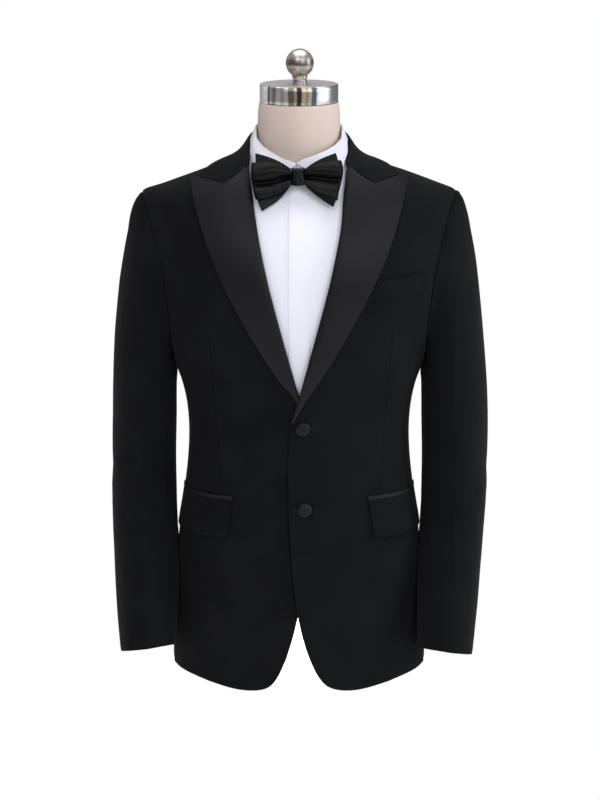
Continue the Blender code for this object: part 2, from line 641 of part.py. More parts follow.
FLAP_TOP, FLAP_LOW = 0.2905, 0.2352
FLAP_CORNER = 0.0070
FLAP_US = (0.0, 0.023, 0.048, 0.13, 0.24, 0.36, 0.49, 0.62, 0.75, 0.88, 1.0)
FLAP_VS = (0.0, 0.40, 0.75, 0.873, 0.937, 1.0)
FLAP_LENGTH = 0.1360
JET = 0.0052
for word, side in SIDES:
    x0 = 0.1010 if side > 0 else 0.0975
    d0, d1 = angle(x0, FLAP_TOP), angle(x0 + 0.0075, FLAP_LOW)
    e0, e1 = along(d0, FLAP_TOP, FLAP_LENGTH), along(d1, FLAP_LOW, FLAP_LENGTH)
    patch("pocket_flap_" + word, side, ((d0, FLAP_TOP), (e0, FLAP_TOP), (e1, FLAP_LOW),
                                        (d1, FLAP_LOW)), FLAP_US, FLAP_VS, WOOL, wool,
          FLAP_CORNER, 0.0010)
    low = FLAP_TOP + 2 * GAP
    patch("pocket_jet_" + word, side, ((d0 - 0.6, low + JET), (e0 + 0.6, low + JET),
                                       (e0 + 0.6, low), (d0 - 0.6, low)),
          np.linspace(0, 1, 11), (0.0, 0.5, 1.0), SATIN, satin, 0.0, 0.0012)

WELT = ((0.1148, 0.6149), (0.1765, 0.6204), (0.1739, 0.5934), (0.1012, 0.5870))
patch("breast_welt", 1, [(angle(x, z), z) for x, z in WELT], np.linspace(0, 1, 8),
      np.linspace(0, 1, 4), SATIN, wool, 0.0, 0.0008)

for word, (x, z, rise) in zip(("upper", "lower"), BUTTONS):
    d = angle(x, z)
    base = place(1, d, z, rise)
    ez = body(d, z, 1.0) - body(d, z)
    ex = np.cross([0, 0, 1.0], ez)
    ex /= np.linalg.norm(ex)
    ey = np.cross(ez, ex)
    r, t = BUTTON_R, BUTTON_T
    profile = ((0.80 * r, 0.0), (0.97 * r, 0.14 * t), (r, 0.36 * t), (0.96 * r, 0.60 * t),
               (0.82 * r, 0.80 * t), (0.55 * r, 0.94 * t), (0.22 * r, t))
    lathe("button_" + word, profile, satin, base, 18, (ex, ey, ez))


# ------------------------------------------------------------------ shirt
EASE = 0.0030            # the shirt hangs this far inside the jacket


def shirt(degrees, z, out=0.0):
    """Outer face of the shirt, just inside the jacket."""
    return body(degrees, z, np.asarray(out) - WOOL - GAP - EASE)


# neck edge of the shirt: degrees, height
SHIRT_NECK = ((0.0, 0.7520), (15.0, 0.7590), (30.0, 0.7735), (45.0, 0.7868), (60.0, 0.7940),
              (90.0, 0.7975), (130.0, 0.7935), (180.0, 0.7890))
SHIRT_HEM = 0.1350
SHIRT_UNDERARM = 0.4850
PLACKET_W = 0.0150       # half width

# heights of the rows of the shirt down its sides
SHIRT_ROWS = (0.7972, 0.7880, 0.7790, 0.7700, 0.7566, 0.7433, 0.7300, 0.7020, 0.6600,
              0.6150, 0.5700, 0.5250, 0.4850, 0.4350, 0.3750, 0.3100, 0.2450, 0.1850,
              SHIRT_HEM)
SHIRT_FRONT_TOP, SHIRT_BACK_TOP = 0.7520, 0.7890


def shirt_side(z):
    """Half width of the shirt's armhole, in degrees round the body."""
    return 22.0 * (1 - step(0.650, 0.735, z)) * step(SHIRT_UNDERARM, 0.590, z)


def shirt_grid(top, sign, cols):
    """Half of the shirt from its centre line to its side, front or back."""
    z = np.array(SHIRT_ROWS)
    share = (z - z[-1]) / (z[0] - z[-1])
    centre = SHIRT_HEM + (top - SHIRT_HEM) * share ** 0.97
    start = 0.0 if sign > 0 else 180.0
    lo = np.stack([np.full(len(z), start), centre], axis=1)
    hi = np.stack([90.0 - sign * (shirt_side(z) + 0.06), z], axis=1)
    d = np.linspace(start, 90.0, cols)
    neck = np.stack([d, smooth(SHIRT_NECK, d)], axis=1)
    return rows(lo, hi, cols, bend=neck)


for word, side in SIDES:
    g = shirt_grid(SHIRT_FRONT_TOP, 1, 7)
    m = np.array([side, 1, 1])
    wall("shirt_front_" + word, short(shirt(g[..., 0], g[..., 1])) * m,
         short(shirt(g[..., 0], g[..., 1], -SHIRT)) * m, cotton)

g = shirt_grid(SHIRT_BACK_TOP, -1, 7)
outer, inner = shirt(g[..., 0], g[..., 1]), shirt(g[..., 0], g[..., 1], -SHIRT)
flip = np.array([-1, 1, 1])
outer = np.concatenate([outer[:, ::-1], outer[:, 1:] * flip], axis=1)
inner = np.concatenate([inner[:, ::-1], inner[:, 1:] * flip], axis=1)
wall("shirt_back", short(outer), short(inner), cotton)

z = shirt_grid(SHIRT_FRONT_TOP, 1, 7)[:, 0, 1][:, None]
x = np.array([-PLACKET_W, 0.0, PLACKET_W])[None, :]
d = angle(x, z * np.ones_like(x))
wall("shirt_placket", short(shirt(d, z * np.ones_like(x), 0.0007 + SHIRT)),
     short(shirt(d, z * np.ones_like(x), 0.0007)), cotton)

RING_X, RING_FRONT, RING_BACK = 0.0621, 0.0700, 0.0690
LEAN = 0.0038            # the stand leans out toward its foot at the front
FOLD_FRONT_Z, FOLD_SIDE_Z, FOLD_BACK_Z = 0.7845, 0.8225, 0.8315


def neck_ring(phi, z, out=0.0, lean=0.0):
    """Point of the neck ring of the shirt collar; phi in degrees from the front."""
    a = np.radians(phi)
    depth = np.where(np.cos(a) > 0, RING_FRONT + lean, RING_BACK + 0.4 * lean)
    return np.stack([(RING_X + out) * np.sin(a), -(depth + out) * np.cos(a),
                     z * np.ones_like(a)], axis=-1)


def fold_z(phi):
    s = np.abs(np.sin(np.radians(phi)))
    front = FOLD_FRONT_Z + (FOLD_SIDE_Z - FOLD_FRONT_Z) * s
    back = FOLD_SIDE_Z + (FOLD_BACK_Z - FOLD_SIDE_Z) * (1 - s)
    return np.where(np.cos(np.radians(phi)) > 0, front, back)


def turned(name, mid, thick, slot):
    n = normals(mid)
    return wall(name, mid + n * thick / 2, mid - n * thick / 2, slot)


phi = np.concatenate([np.linspace(1.6, 180, 15), 360 - np.linspace(180, 1.6, 15)[1:]])
seat_z = smooth(SHIRT_NECK, np.minimum(phi, 360 - phi)) + 0.0012
top_z = fold_z(phi) - 0.0024
stand = [neck_ring(phi, seat_z + (top_z - seat_z) * t, 0.0, LEAN * (1 - t))
         for t in (0, 0.5, 1)]
turned("shirt_collar_stand", np.array(stand), SHIRT, cotton)

# lower edge of the collar leaf from its point at the front round to centre back
LEAF = ((0.0490, -0.0822, 0.7400), (0.0602, -0.0705, 0.7615), (0.0662, -0.0460, 0.7835),
        (0.0668, -0.0150, 0.8010), (0.0664, 0.0150, 0.8035), (0.0515, 0.0482, 0.7990),
        (0.0262, 0.0666, 0.7950), (0.0000, 0.0721, 0.7930))
half_phi = np.linspace(2.4, 180, 15)
edge = spline(LEAF, 15)
apex = neck_ring(half_phi, fold_z(half_phi), 0.0014)
leaf = [neck_ring(half_phi, fold_z(half_phi) - 0.0008, 0.0003), apex]
outer = neck_ring(half_phi, fold_z(half_phi) - 0.0030, 0.0027)
for t in (0.0, 0.33, 0.66, 1.0):
    leaf.append(outer * (1 - t) + edge * t
                + 0.0006 * math.sin(math.pi * t) * apex * (1, 1, 0) / RING_X)
leaf = np.array(leaf)
leaf = np.concatenate([leaf, leaf[:, -2::-1] * np.array([-1, 1, 1])], axis=1)
turned("shirt_collar_leaf", leaf, SHIRT, cotton)


# ------------------------------------------------------------------ bow tie
BOW_T = 0.0012
phi = np.linspace(4, 356, 29)
band = []
for h in (0.0062, 0.0140, 0.0220):
    seat = smooth(SHIRT_NECK, np.minimum(phi, 360 - phi)) + 0.0012
    t = (fold_z(phi) - h - seat) / (fold_z(phi) - 0.0024 - seat)
    band.append(neck_ring(phi, fold_z(phi) - h, 0.0013, LEAN * (1 - t)))
turned("bow_band", np.array(band), 0.0007, satin)

# outer ends of the bow, top, middle and bottom: x, z
LOOP = {1: ((0.0612, 0.7850), (0.0634, 0.7600), (0.0500, 0.7215)),
        -1: ((0.0655, 0.7822), (0.0670, 0.7600), (0.0600, 0.7300))}
TAIL = {1: ((0.0528, 0.7968), (0.0590, 0.7650), (0.0570, 0.7295)),
        -1: ((0.0610, 0.7948), (0.0585, 0.7550), (0.0507, 0.7165))}
KNOT_X, KNOT_Z = 0.0098, (0.7735, 0.7535)
BOW_Y, BOW_LEAN = -0.0804, 0.34      # back of the bow, and how far it leans forward


def bow_layer(side, ends, s, eta, deep):
    """Points fanning from the knot to the outer end; eta runs -1 low to 1 high."""
    a, b, c = [np.array(p) for p in ends]
    q = np.stack([eta, eta], axis=-1)
    end = b * (1 - q ** 2) + a * (q * q + q) / 2 + c * (q * q - q) / 2
    mid = (KNOT_Z[0] + KNOT_Z[1]) / 2
    root = np.stack([np.full(eta.shape, KNOT_X), mid + eta * (KNOT_Z[0] - mid)], axis=-1)
    w = s ** np.where(eta > 0, 0.80, 0.92)
    p = root + (end - root) * np.stack([s, w], axis=-1)
    return np.stack([side * p[..., 0], lean_y(deep, p[..., 1]), p[..., 1]], axis=-1)


def lean_y(y, z):
    return y - BOW_LEAN * (0.7635 - z)


ETAS = 7
eta = np.linspace(-1, 1, ETAS)
for word, side in SIDES:
    path = []
    for s, layer in ((0, 0), (0.16, 0), (0.40, 0), (0.68, 0), (0.92, 0), (1.0, 0.5),
                     (0.92, 1), (0.68, 1), (0.40, 1), (0.16, 1), (0.0, 1)):
        gap = 0.0064 + 0.0045 * math.sin(math.pi * min(s, 0.98) ** 0.9)
        crease = 0.0022 * np.exp(-((eta - 0.05) / 0.30) ** 2) * (1 - s) ** 0.5
        crease = crease + 0.0010 * np.cos(eta * 7.0) * (1 - s)
        front = BOW_Y - 0.0080 - 0.0020 * s - gap / 2 + crease * (layer == 0)
        back = BOW_Y - 0.0080 - 0.0020 * s + gap / 2
        deep = front * (1 - layer) + back * layer
        path.append(bow_layer(side, LOOP[side], np.full(ETAS, s), eta, deep))
    turned("bow_wing_" + word, np.array(path), BOW_T, satin)
    path = []
    for s in np.linspace(0, 1, 6):
        deep = BOW_Y - 0.0002 - 0.0030 * s + 0.0006 * np.cos(eta * 6.0) * (1 - s)
        path.append(bow_layer(side, TAIL[side], np.full(ETAS, s), eta, deep))
    turned("bow_tail_" + word, np.array(path), BOW_T, satin)

rings = []
a = np.linspace(0, 2 * math.pi, 16, endpoint=False)
for z, w, d in ((0.7522, 0.0062, 0.0045), (0.7535, 0.0088, 0.0080), (0.7580, 0.0092, 0.0090),
                (0.7640, 0.0090, 0.0094), (0.7705, 0.0092, 0.0088), (0.7748, 0.0086, 0.0074),
                (0.7762, 0.0060, 0.0042)):
    y = lean_y(BOW_Y - 0.0080 + d * np.sin(a), z)
    rings.append(np.stack([w * np.cos(a), y, np.full(16, z)], axis=-1))
rings = np.array(rings)
verts = rings.reshape(-1, 3)
faces = [(i * 16 + j, i * 16 + (j + 1) % 16, (i + 1) * 16 + (j + 1) % 16, (i + 1) * 16 + j)
         for i in range(6) for j in range(16)]
faces += [tuple(range(15, -1, -1)), tuple(96 + j for j in range(16))]
add("bow_knot", verts, faces, satin)


# ------------------------------------------------------------------ dress form
ARM_PLATE = 0.1860       # the torso ends in a flat plate at each arm


SEGS = 24


def form_point(theta, z):
    inset = WOOL + GAP + EASE + SHIRT + GAP + 0.0052 + 0.0040 * (1 - step(0.560, 0.690, z))
    p = body(theta, z, -inset)
    w = step(0.752, 0.8050, z)[..., None]
    a = np.radians(theta)
    neck = np.stack([0.0598 * np.sin(a), -0.0598 * np.cos(a), z], axis=-1)
    p = p * (1 - w) + neck * w
    over = np.maximum(np.abs(p[..., 0]) - ARM_PLATE + 0.010, 0)
    p[..., 0] = np.sign(p[..., 0]) * (np.abs(p[..., 0]) - over
                                      + 0.010 * (1 - np.exp(-over / 0.010)))
    return p


levels = list(SHIRT_ROWS[-2::-1]) + [0.806]
theta = np.arange(SEGS) * 360.0 / SEGS
theta = np.where(theta > 180, theta - 360, theta)
foot = form_point(theta, np.full(SEGS, 0.1500))
foot[:, 2] = FORM_Z
rings = [foot] + [form_point(theta, np.full(SEGS, z)) for z in levels]
for z, r in ((0.822, 0.0608), (0.837, 0.0604), (0.848, 0.0598), (0.8577, 0.0582)):
    a = np.radians(theta)
    rings.append(np.stack([r * np.sin(a), -r * np.cos(a), np.full(SEGS, z)], axis=-1))
rings = np.array(rings)
count = len(rings)
faces = [(i * SEGS + j, i * SEGS + (j + 1) % SEGS, (i + 1) * SEGS + (j + 1) % SEGS,
          (i + 1) * SEGS + j) for i in range(count - 1) for j in range(SEGS)]
faces += [tuple(range(SEGS - 1, -1, -1)), tuple((count - 1) * SEGS + j for j in range(SEGS))]
add("form_torso", rings.reshape(-1, 3), faces, linen)

z0, z1 = CAP_Z
lathe("neck_cap", ((CAP_R - 0.0010, z0), (CAP_R, z0 + 0.0010), (CAP_R, z1 - 0.0012),
                   (CAP_R - 0.0014, z1)), chrome, segs=32)
ball = [(BALL_R * math.sin(t), BALL_Z - BALL_R * math.cos(t))
        for t in np.linspace(0.56, 3.05, 10)]
lathe("finial", [(0.0152, z1 + GAP), (0.0152, z1 + 0.0020), (0.0128, z1 + 0.0052),
                 (0.0120, z1 + 0.0095)] + ball, chrome, segs=18)
lathe("form_foot", ((BASE_R - 0.0020, 0.0), (BASE_R, 0.0020), (BASE_R, BASE_T - 0.0025),
                    (BASE_R - 0.0030, BASE_T), (COLUMN_R + 0.0120, BASE_T + 0.0012),
                    (COLUMN_R + 0.0020, BASE_T + 0.0060), (COLUMN_R, BASE_T + 0.0140),
                    (COLUMN_R, FORM_Z - GAP)), white, segs=24)
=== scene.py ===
import bpy
import bmesh
import math
import numpy as np
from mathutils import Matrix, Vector
from mathutils.bvhtree import BVHTree
from mathutils.kdtree import KDTree


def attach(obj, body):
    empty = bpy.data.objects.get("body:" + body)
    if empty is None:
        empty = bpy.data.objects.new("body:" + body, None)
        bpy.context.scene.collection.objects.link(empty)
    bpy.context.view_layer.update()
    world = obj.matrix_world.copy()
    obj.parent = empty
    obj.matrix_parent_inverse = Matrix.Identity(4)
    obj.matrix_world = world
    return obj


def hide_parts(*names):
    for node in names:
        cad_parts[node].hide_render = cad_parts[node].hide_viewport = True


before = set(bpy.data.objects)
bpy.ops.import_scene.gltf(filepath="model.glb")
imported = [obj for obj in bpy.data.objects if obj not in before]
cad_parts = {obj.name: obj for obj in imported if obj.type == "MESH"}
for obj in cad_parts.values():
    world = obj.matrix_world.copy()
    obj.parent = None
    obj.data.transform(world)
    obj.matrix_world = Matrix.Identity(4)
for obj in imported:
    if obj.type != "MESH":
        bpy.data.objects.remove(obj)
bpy.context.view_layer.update()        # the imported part, in metres, front facing -Y
scene = bpy.context.scene
scene.view_settings.view_transform = "Standard"
scene.view_settings.look = "None"

# ---------------------------------------------------------------- studio
# A pale seamless floor under soft boxes, and a long lens a little above the
# shoulders, looking slightly down on the dress form.
LENS_MM, SENSOR_MM, SEES_TO = 155.88, 36.0, 200.0
EYE = (0.0015, -5.0, 1.43639)
LOOK_DOWN = math.radians(11.5205)

camera = bpy.data.objects.new("camera", bpy.data.cameras.new("camera"))
scene.collection.objects.link(camera)
camera.data.lens, camera.data.sensor_width, camera.data.clip_end = LENS_MM, SENSOR_MM, SEES_TO
camera.location = EYE
camera.rotation_euler = (math.pi / 2 - LOOK_DOWN, 0, 0)
scene.camera = camera

# soft boxes: name, place, size, power, colour; all are turned to the middle of the jacket
SOFT_BOXES = (
    ("key_box", (-1.0, -2.9, 2.6), (1.6, 1.6), 33.0, (1.0, 0.985, 0.965)),
    ("fill_box", (1.4, -2.9, 2.0), (1.5, 1.8), 42.0, (0.86, 0.91, 1.0)),
    ("top_box", (0.0, 0.2, 3.0), (2.6, 2.2), 46.0, (1.0, 1.0, 1.0)),
    ("rim_left_box", (-2.4, 1.2, 1.3), (0.7, 1.8), 3.0, (1.0, 1.0, 1.0)),
    ("rim_right_box", (3.0, -0.6, 1.20), (0.8, 1.8), 52.0, (0.84, 0.88, 1.0)),
)
JACKET_MIDDLE = (0, 0, 0.45)
# two small round lamps under the hem keep the gap between the quarters clear
HEM_LAMPS = (("hem_lamp_left", (0.078, -0.092, 0.085)),
             ("hem_lamp_right", (-0.078, -0.092, 0.085)))
HEM_AIM, HEM_ACROSS, HEM_POWER = (0, -0.02, 0.030), 0.05, 0.35


def hang_lamp(name, shape, place, size, power, colour, target):
    """An area lamp at its place, turned to what it lights."""
    light = bpy.data.lights.new(name, "AREA")
    light.shape = shape
    light.size, light.size_y = size
    light.energy, light.color = power, colour
    lamp = bpy.data.objects.new(name, light)
    scene.collection.objects.link(lamp)
    lamp.location = place
    aim = Vector(target) - Vector(place)
    lamp.rotation_euler = aim.to_track_quat("-Z", "Y").to_euler()


for name, place, size, power, colour in SOFT_BOXES:
    hang_lamp(name, "RECTANGLE", place, size, power, colour, JACKET_MIDDLE)
for name, place in HEM_LAMPS:
    hang_lamp(name, "DISK", place, (HEM_ACROSS, HEM_ACROSS), HEM_POWER, (1, 1, 1), HEM_AIM)


def dial(n, values):
    """Set the sockets of a node, by name or number."""
    for socket, value in values:
        n.inputs[socket].default_value = value


def node(tree, kind, links=(), values=(), **settings):
    """A node with its settings and values, fed from the sockets in links."""
    n = tree.nodes.new("ShaderNode" + kind)
    for key, value in settings.items():
        setattr(n, key, value)
    dial(n, values)
    for socket, source in links:
        tree.links.new(source, n.inputs[socket])
    return n


def part_lens(tree, room, lens, end):
    """Answer the lens with one shader and everything else in the room with another."""
    rays = node(tree, "LightPath")
    blend = node(tree, "MixShader", [("Fac", rays.outputs["Is Camera Ray"]),
                                     (1, room.outputs[0]), (2, lens.outputs[0])])
    tree.links.new(blend.outputs[0], end.inputs["Surface"])


WHITE = (1, 1, 1, 1)
world = bpy.data.worlds.new("studio_air")
scene.world = world
world.use_nodes = True
air = world.node_tree
air.nodes.clear()
seen = node(air, "Background", values=[("Color", WHITE), ("Strength", 1.0)])
fill = node(air, "Background", values=[("Color", (0.97, 0.975, 1.0, 1)), ("Strength", 0.30)])
part_lens(air, fill, seen, node(air, "OutputWorld"))


def deselect():
    """Let go of everything that is selected."""
    for o in bpy.context.selected_objects:
        o.select_set(False)


def new_material(name):
    """A new material with its node tree and its Principled surface."""
    m = bpy.data.materials.new(name)
    m.use_nodes = True
    return m, m.node_tree, m.node_tree.nodes["Principled BSDF"]


FLOOR_RADIUS = 2.1
deselect()
bpy.ops.mesh.primitive_circle_add(vertices=96, radius=FLOOR_RADIUS, fill_type="NGON",
                                  location=(0, 0, 0))
floor = bpy.context.object
floor.name = "studio_floor"
sweep, paper, face = new_material("studio_floor")      # face: what the cloth sees of the floor
dial(face, [("Base Color", (0.45, 0.45, 0.45, 1)), ("Roughness", 0.9),
            ("Emission Color", WHITE), ("Emission Strength", 0.70)])
part_lens(paper, face, node(paper, "Emission", values=[("Color", WHITE)]),
          paper.nodes["Material Output"])
floor.data.materials.append(sweep)

# ---------------------------------------------------------------- jacket cloth
# Black worsted wool: a fine steep twill with a soft matt face.  The panels are
# cut and pressed, then hang almost smooth from the shoulders.
WOOL = (0.0046, 0.0049, 0.0058)
TWILL_RIB, TWILL_SLANT = 0.0007, 1.6     # from rib to rib, and how steeply the ribs climb
YARN_NOISE, YARN_WANDER = 420.0, 2.2     # how fine the yarn's unevenness is, and how strong
YARN_STEP, YARN_SHARE = 1.3, 0.45        # threads across the ribs: spacing, share of the relief
BROAD_SHARE = 0.62       # share of the broad patches in the tone; the rest is fine flecks
ROUGH_SWING = 0.05       # how far the patches change the roughness


def group(name, ins, outs):
    """An empty node group with named sockets: (name, kind, default)."""
    g = bpy.data.node_groups.new(name, "ShaderNodeTree")
    for label, kind, value in ins:
        s = g.interface.new_socket(label, in_out="INPUT", socket_type="NodeSocket" + kind)
        if value is not None:
            s.default_value = value
    for label, kind in outs:
        g.interface.new_socket(label, in_out="OUTPUT", socket_type="NodeSocket" + kind)
    return g, g.nodes.new("NodeGroupInput"), g.nodes.new("NodeGroupOutput")


def calc(tree, how, a, b=None):
    """The result of a sum of sockets or numbers."""
    n = node(tree, "Math", operation=how)
    for k, v in enumerate((a, b)):
        if isinstance(v, (int, float)):
            n.inputs[k].default_value = v
        elif v is not None:
            tree.links.new(v, n.inputs[k])
    return n.outputs[0]


# twill: slanting ribs crossed by the threads that make them, with uneven yarn
twill, given, made = group(
    "twill", (("Cloth map", "Vector", None), ("Rib", "Float", TWILL_RIB),
              ("Slant", "Float", TWILL_SLANT)), (("Height", "Float"),))
across, up = node(twill, "SeparateXYZ", [(0, given.outputs["Cloth map"])]).outputs[:2]
slope = calc(twill, "MULTIPLY", across, given.outputs["Slant"])
ribs = calc(twill, "DIVIDE", calc(twill, "ADD", up, slope), given.outputs["Rib"])
yarns = calc(twill, "DIVIDE", calc(twill, "SUBTRACT", across, up), given.outputs["Rib"])
uneven = node(twill, "TexNoise", [(0, given.outputs["Cloth map"])],
              [("Scale", YARN_NOISE), ("Detail", 2.0)])
wander = calc(twill, "MULTIPLY", uneven.outputs["Fac"], YARN_WANDER)
rib_turn = calc(twill, "ADD", calc(twill, "MULTIPLY", ribs, 2 * math.pi), wander)
yarn_turn = calc(twill, "MULTIPLY", yarns, YARN_STEP * math.pi)
yarn_wave = calc(twill, "MULTIPLY", calc(twill, "SINE", yarn_turn), YARN_SHARE)
both = calc(twill, "ADD", calc(twill, "SINE", rib_turn), yarn_wave)
height = calc(twill, "ADD", calc(twill, "MULTIPLY", both, 0.34), 0.5)
twill.links.new(height, made.inputs["Height"])

# uneven dye and lie of the nap: broad soft patches over fine flecks
patches, given, made = group(
    "cloth_patches", (("Position", "Vector", None), ("Deep", "Color", (0, 0, 0, 1)),
                      ("Light", "Color", WHITE), ("Patch size", "Float", 0.08),
                      ("Fleck size", "Float", 0.0015)), (("Color", "Color"), ("Amount", "Float")))
SPECKLES = (("Patch size", 1.5, BROAD_SHARE), ("Fleck size", 2.0, 1 - BROAD_SHARE))
shares = []
for size, detail, share in SPECKLES:
    scale = calc(patches, "DIVIDE", 1.0, given.outputs[size])
    speckle = node(patches, "TexNoise", [(0, given.outputs["Position"]), ("Scale", scale)],
                   [("Detail", detail)])
    shares.append(calc(patches, "MULTIPLY", speckle.outputs["Fac"], share))
amount = calc(patches, "ADD", *shares)
mixed = node(patches, "Mix", [(0, amount), (6, given.outputs["Deep"]),
                              (7, given.outputs["Light"])], data_type="RGBA")
patches.links.new(mixed.outputs[2], made.inputs["Color"])
patches.links.new(amount, made.inputs["Amount"])


def cloth(name, colour, spread, rough, specular, rib, relief, slant=0.0, sheen=0.0, patch=0.08):
    """A woven material: patches of colour, a weave in relief, a soft face."""
    m, t, face = new_material(name)
    tone = node(t, "Group", [("Position", node(t, "TexCoord").outputs["Object"])],
                [("Deep", (*[c * (1 - spread) for c in colour], 1)),
                 ("Light", (*[c * (1 + spread) for c in colour], 1)),
                 ("Patch size", patch)], node_tree=patches)
    span = node(t, "MapRange", [("Value", tone.outputs["Amount"])],
                [("To Min", rough - ROUGH_SWING), ("To Max", rough + ROUGH_SWING)])
    weave = node(t, "Group", [("Cloth map", node(t, "UVMap", uv_map="cloth").outputs["UV"])],
                 [("Rib", rib), ("Slant", slant)], node_tree=twill)
    bump = node(t, "Bump", [("Height", weave.outputs["Height"])],
                [("Strength", 0.5), ("Distance", relief)])
    t.links.new(tone.outputs["Color"], face.inputs["Base Color"])
    t.links.new(span.outputs["Result"], face.inputs["Roughness"])
    t.links.new(bump.outputs["Normal"], face.inputs["Normal"])
    dial(face, [("Specular IOR Level", specular), ("Sheen Weight", sheen),
                ("Sheen Roughness", 0.45)])
    return m


wool = cloth("black_worsted", WOOL, spread=0.85, rough=0.88, specular=0.08, rib=TWILL_RIB,
             relief=0.00014, slant=TWILL_SLANT, sheen=0.02, patch=0.06)

# ---------------------------------------------------------------- fronts, sides and backs
# Two fronts, two side panels and two backs in black wool, joined by pressed-open
# seams.  A dart runs from the chest to each pocket and is sewn from inside.
BODY_GIRTH = 0.170       # mean radius of the body, for the cloth's own map
HALF_WIDE, HALF_DEEP = 0.19, 0.125       # of the body
WELD, PARTING_WELD = 2e-5, 6e-4          # points closer than this become one
SQUARE_BEND, SQUARE_SKEW = 50, 130       # how far two triangles may bend and lean as one face
SMOOTH_BELOW = 35                        # degrees between faces that shade as one


def panel(name, material, levels, sharp=50.0, below=None):
    """A fine copy of one of the frame's pieces: merged, squared, its edges kept.

    below names the piece that carries the same cloth on, past a hairline parting.
    """
    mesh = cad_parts[name].data.copy()
    piece = bpy.data.objects.new(name + "_cloth", mesh)
    scene.collection.objects.link(piece)
    bm = bmesh.new()
    bm.from_mesh(mesh)
    bmesh.ops.remove_doubles(bm, verts=bm.verts, dist=WELD)
    if below:
        parting = min(v.co.z for v in bm.verts)
        bm.from_mesh(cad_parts[below].data)
        bmesh.ops.remove_doubles(bm, verts=bm.verts, dist=WELD)
        bm.normal_update()
        ends = [f for f in bm.faces if abs(f.normal.z) > 0.7
                and abs(f.calc_center_median().z - parting) < 0.02]
        bmesh.ops.delete(bm, geom=ends, context="FACES")
        bmesh.ops.remove_doubles(bm, verts=bm.verts, dist=PARTING_WELD)
    bmesh.ops.join_triangles(bm, faces=bm.faces, angle_face_threshold=math.radians(SQUARE_BEND),
                             angle_shape_threshold=math.radians(SQUARE_SKEW))
    crease = bm.edges.layers.float.get("crease_edge") or bm.edges.layers.float.new("crease_edge")
    for e in bm.edges:
        if len(e.link_faces) == 2 and e.calc_face_angle(0) > math.radians(sharp):
            e[crease] = 1.0
    bm.to_mesh(mesh)
    bm.free()
    deselect()
    piece.select_set(True)
    bpy.context.view_layer.objects.active = piece
    finer = piece.modifiers.new("finer", "SUBSURF")
    finer.levels = finer.render_levels = levels
    bpy.ops.object.modifier_apply(modifier=finer.name)
    bpy.ops.object.shade_smooth_by_angle(angle=math.radians(SMOOTH_BELOW))
    mesh.materials.clear()
    mesh.materials.append(material)
    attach(piece, "root")
    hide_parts(name, *([below] if below else []))
    return piece


def points(piece):
    """Places of a mesh's points; x, y, z = co.T names its columns, which move it in place."""
    co = np.empty(len(piece.data.vertices) * 3)
    piece.data.vertices.foreach_get("co", co)
    return co.reshape(-1, 3)


def set_points(piece, co):
    """Put the points of a mesh where co has them."""
    piece.data.vertices.foreach_set("co", co.ravel())
    piece.data.update()


def ease(value, start, run):
    """From 0 at start to 1 past run; with a negative run, the other way."""
    return np.clip((value - start) / run, 0, 1)


def bell(gap, width):
    """1 where gap is 0, fading softly over width."""
    return np.exp(-(gap / width) ** 2)


def outward(co, lift=0.0):
    """Direction out of the body at each point, turned up by lift."""
    x, y, z = co.T
    out = np.stack([x / HALF_WIDE ** 2, y / HALF_DEEP ** 2, 0 * z + lift], axis=1)
    return out / np.linalg.norm(out, axis=1)[:, None]


def round_body(co):
    """Map and outward direction on the body of the jacket: round from centre front."""
    return BODY_GIRTH * np.arctan2(co[:, 0], -co[:, 1]), co[:, 2], outward(co)


def lay(piece, across, up):
    """Write the cloth's own map, in metres, from each point's place on the piece."""
    layer = piece.data.uv_layers.get("cloth") or piece.data.uv_layers.new(name="cloth")
    corner = np.empty(len(piece.data.loops), dtype=np.int32)
    piece.data.loops.foreach_get("vertex_index", corner)
    laid = np.stack([across, up], axis=1)[corner]
    layer.uv.foreach_set("vector", laid.astype(np.float32).ravel())
    piece.data.uv_layers.active = layer


def lay_round(piece):
    """Write the map of a piece that lies round the body."""
    across, up, out = round_body(points(piece))
    lay(piece, across, up)


def press(co, across, up, out, folds):
    """Push soft folds into the cloth.  A fold: (points on its map, half width, height)."""
    for line, width, height in folds:
        best = np.full(len(co), 1e9)
        along = np.zeros(len(co))
        line = np.array(line, float)
        length = np.linalg.norm(np.diff(line, axis=0), axis=1)
        run = np.concatenate([[0], np.cumsum(length)]) / length.sum()
        for k in range(len(line) - 1):
            a, b = line[k], line[k + 1]
            d = b - a
            t = np.clip(((across - a[0]) * d[0] + (up - a[1]) * d[1]) / (d @ d), 0, 1)
            gap = np.hypot(across - a[0] - t * d[0], up - a[1] - t * d[1])
            near = gap < best
            best[near] = gap[near]
            along[near] = (run[k] + t * (run[k + 1] - run[k]))[near]
        ends = np.sin(np.pi * np.clip(along, 0.02, 0.98)) ** 0.7
        co = co + out * (height * ends * bell(best, width))[:, None]
    return co


def into_seam(co):
    """Outward direction at a seam, the same for both cloths that meet there."""
    return outward(co, 110 * np.clip(co[:, 2] - 0.62, 0, 1))


def rim_of(piece, co, chosen, facing=None):
    """Numbers of the points on the cut edges; with facing, on the outer side alone."""
    crease = piece.data.attributes["crease_edge"].data
    rim = {v for e in piece.data.edges if crease[e.index].value > 0.5 for v in e.vertices}
    if facing is not None:
        out = into_seam(co)
        rim = {v for f in piece.data.polygons for v in f.vertices
               if v in rim and np.dot(out[v], f.normal) > facing}
    return sorted(v for v in rim if chosen(co[v]))


def search_tree(places):
    """The places, sorted for finding the nearest."""
    tree = KDTree(len(places))
    for k, place in enumerate(places):
        tree.insert(place, k)
    tree.balance()
    return tree


def gap_to(places, co):
    """Distance from each point to the nearest of the places."""
    tree = search_tree(places)
    return np.array([tree.find(c)[2] for c in co])


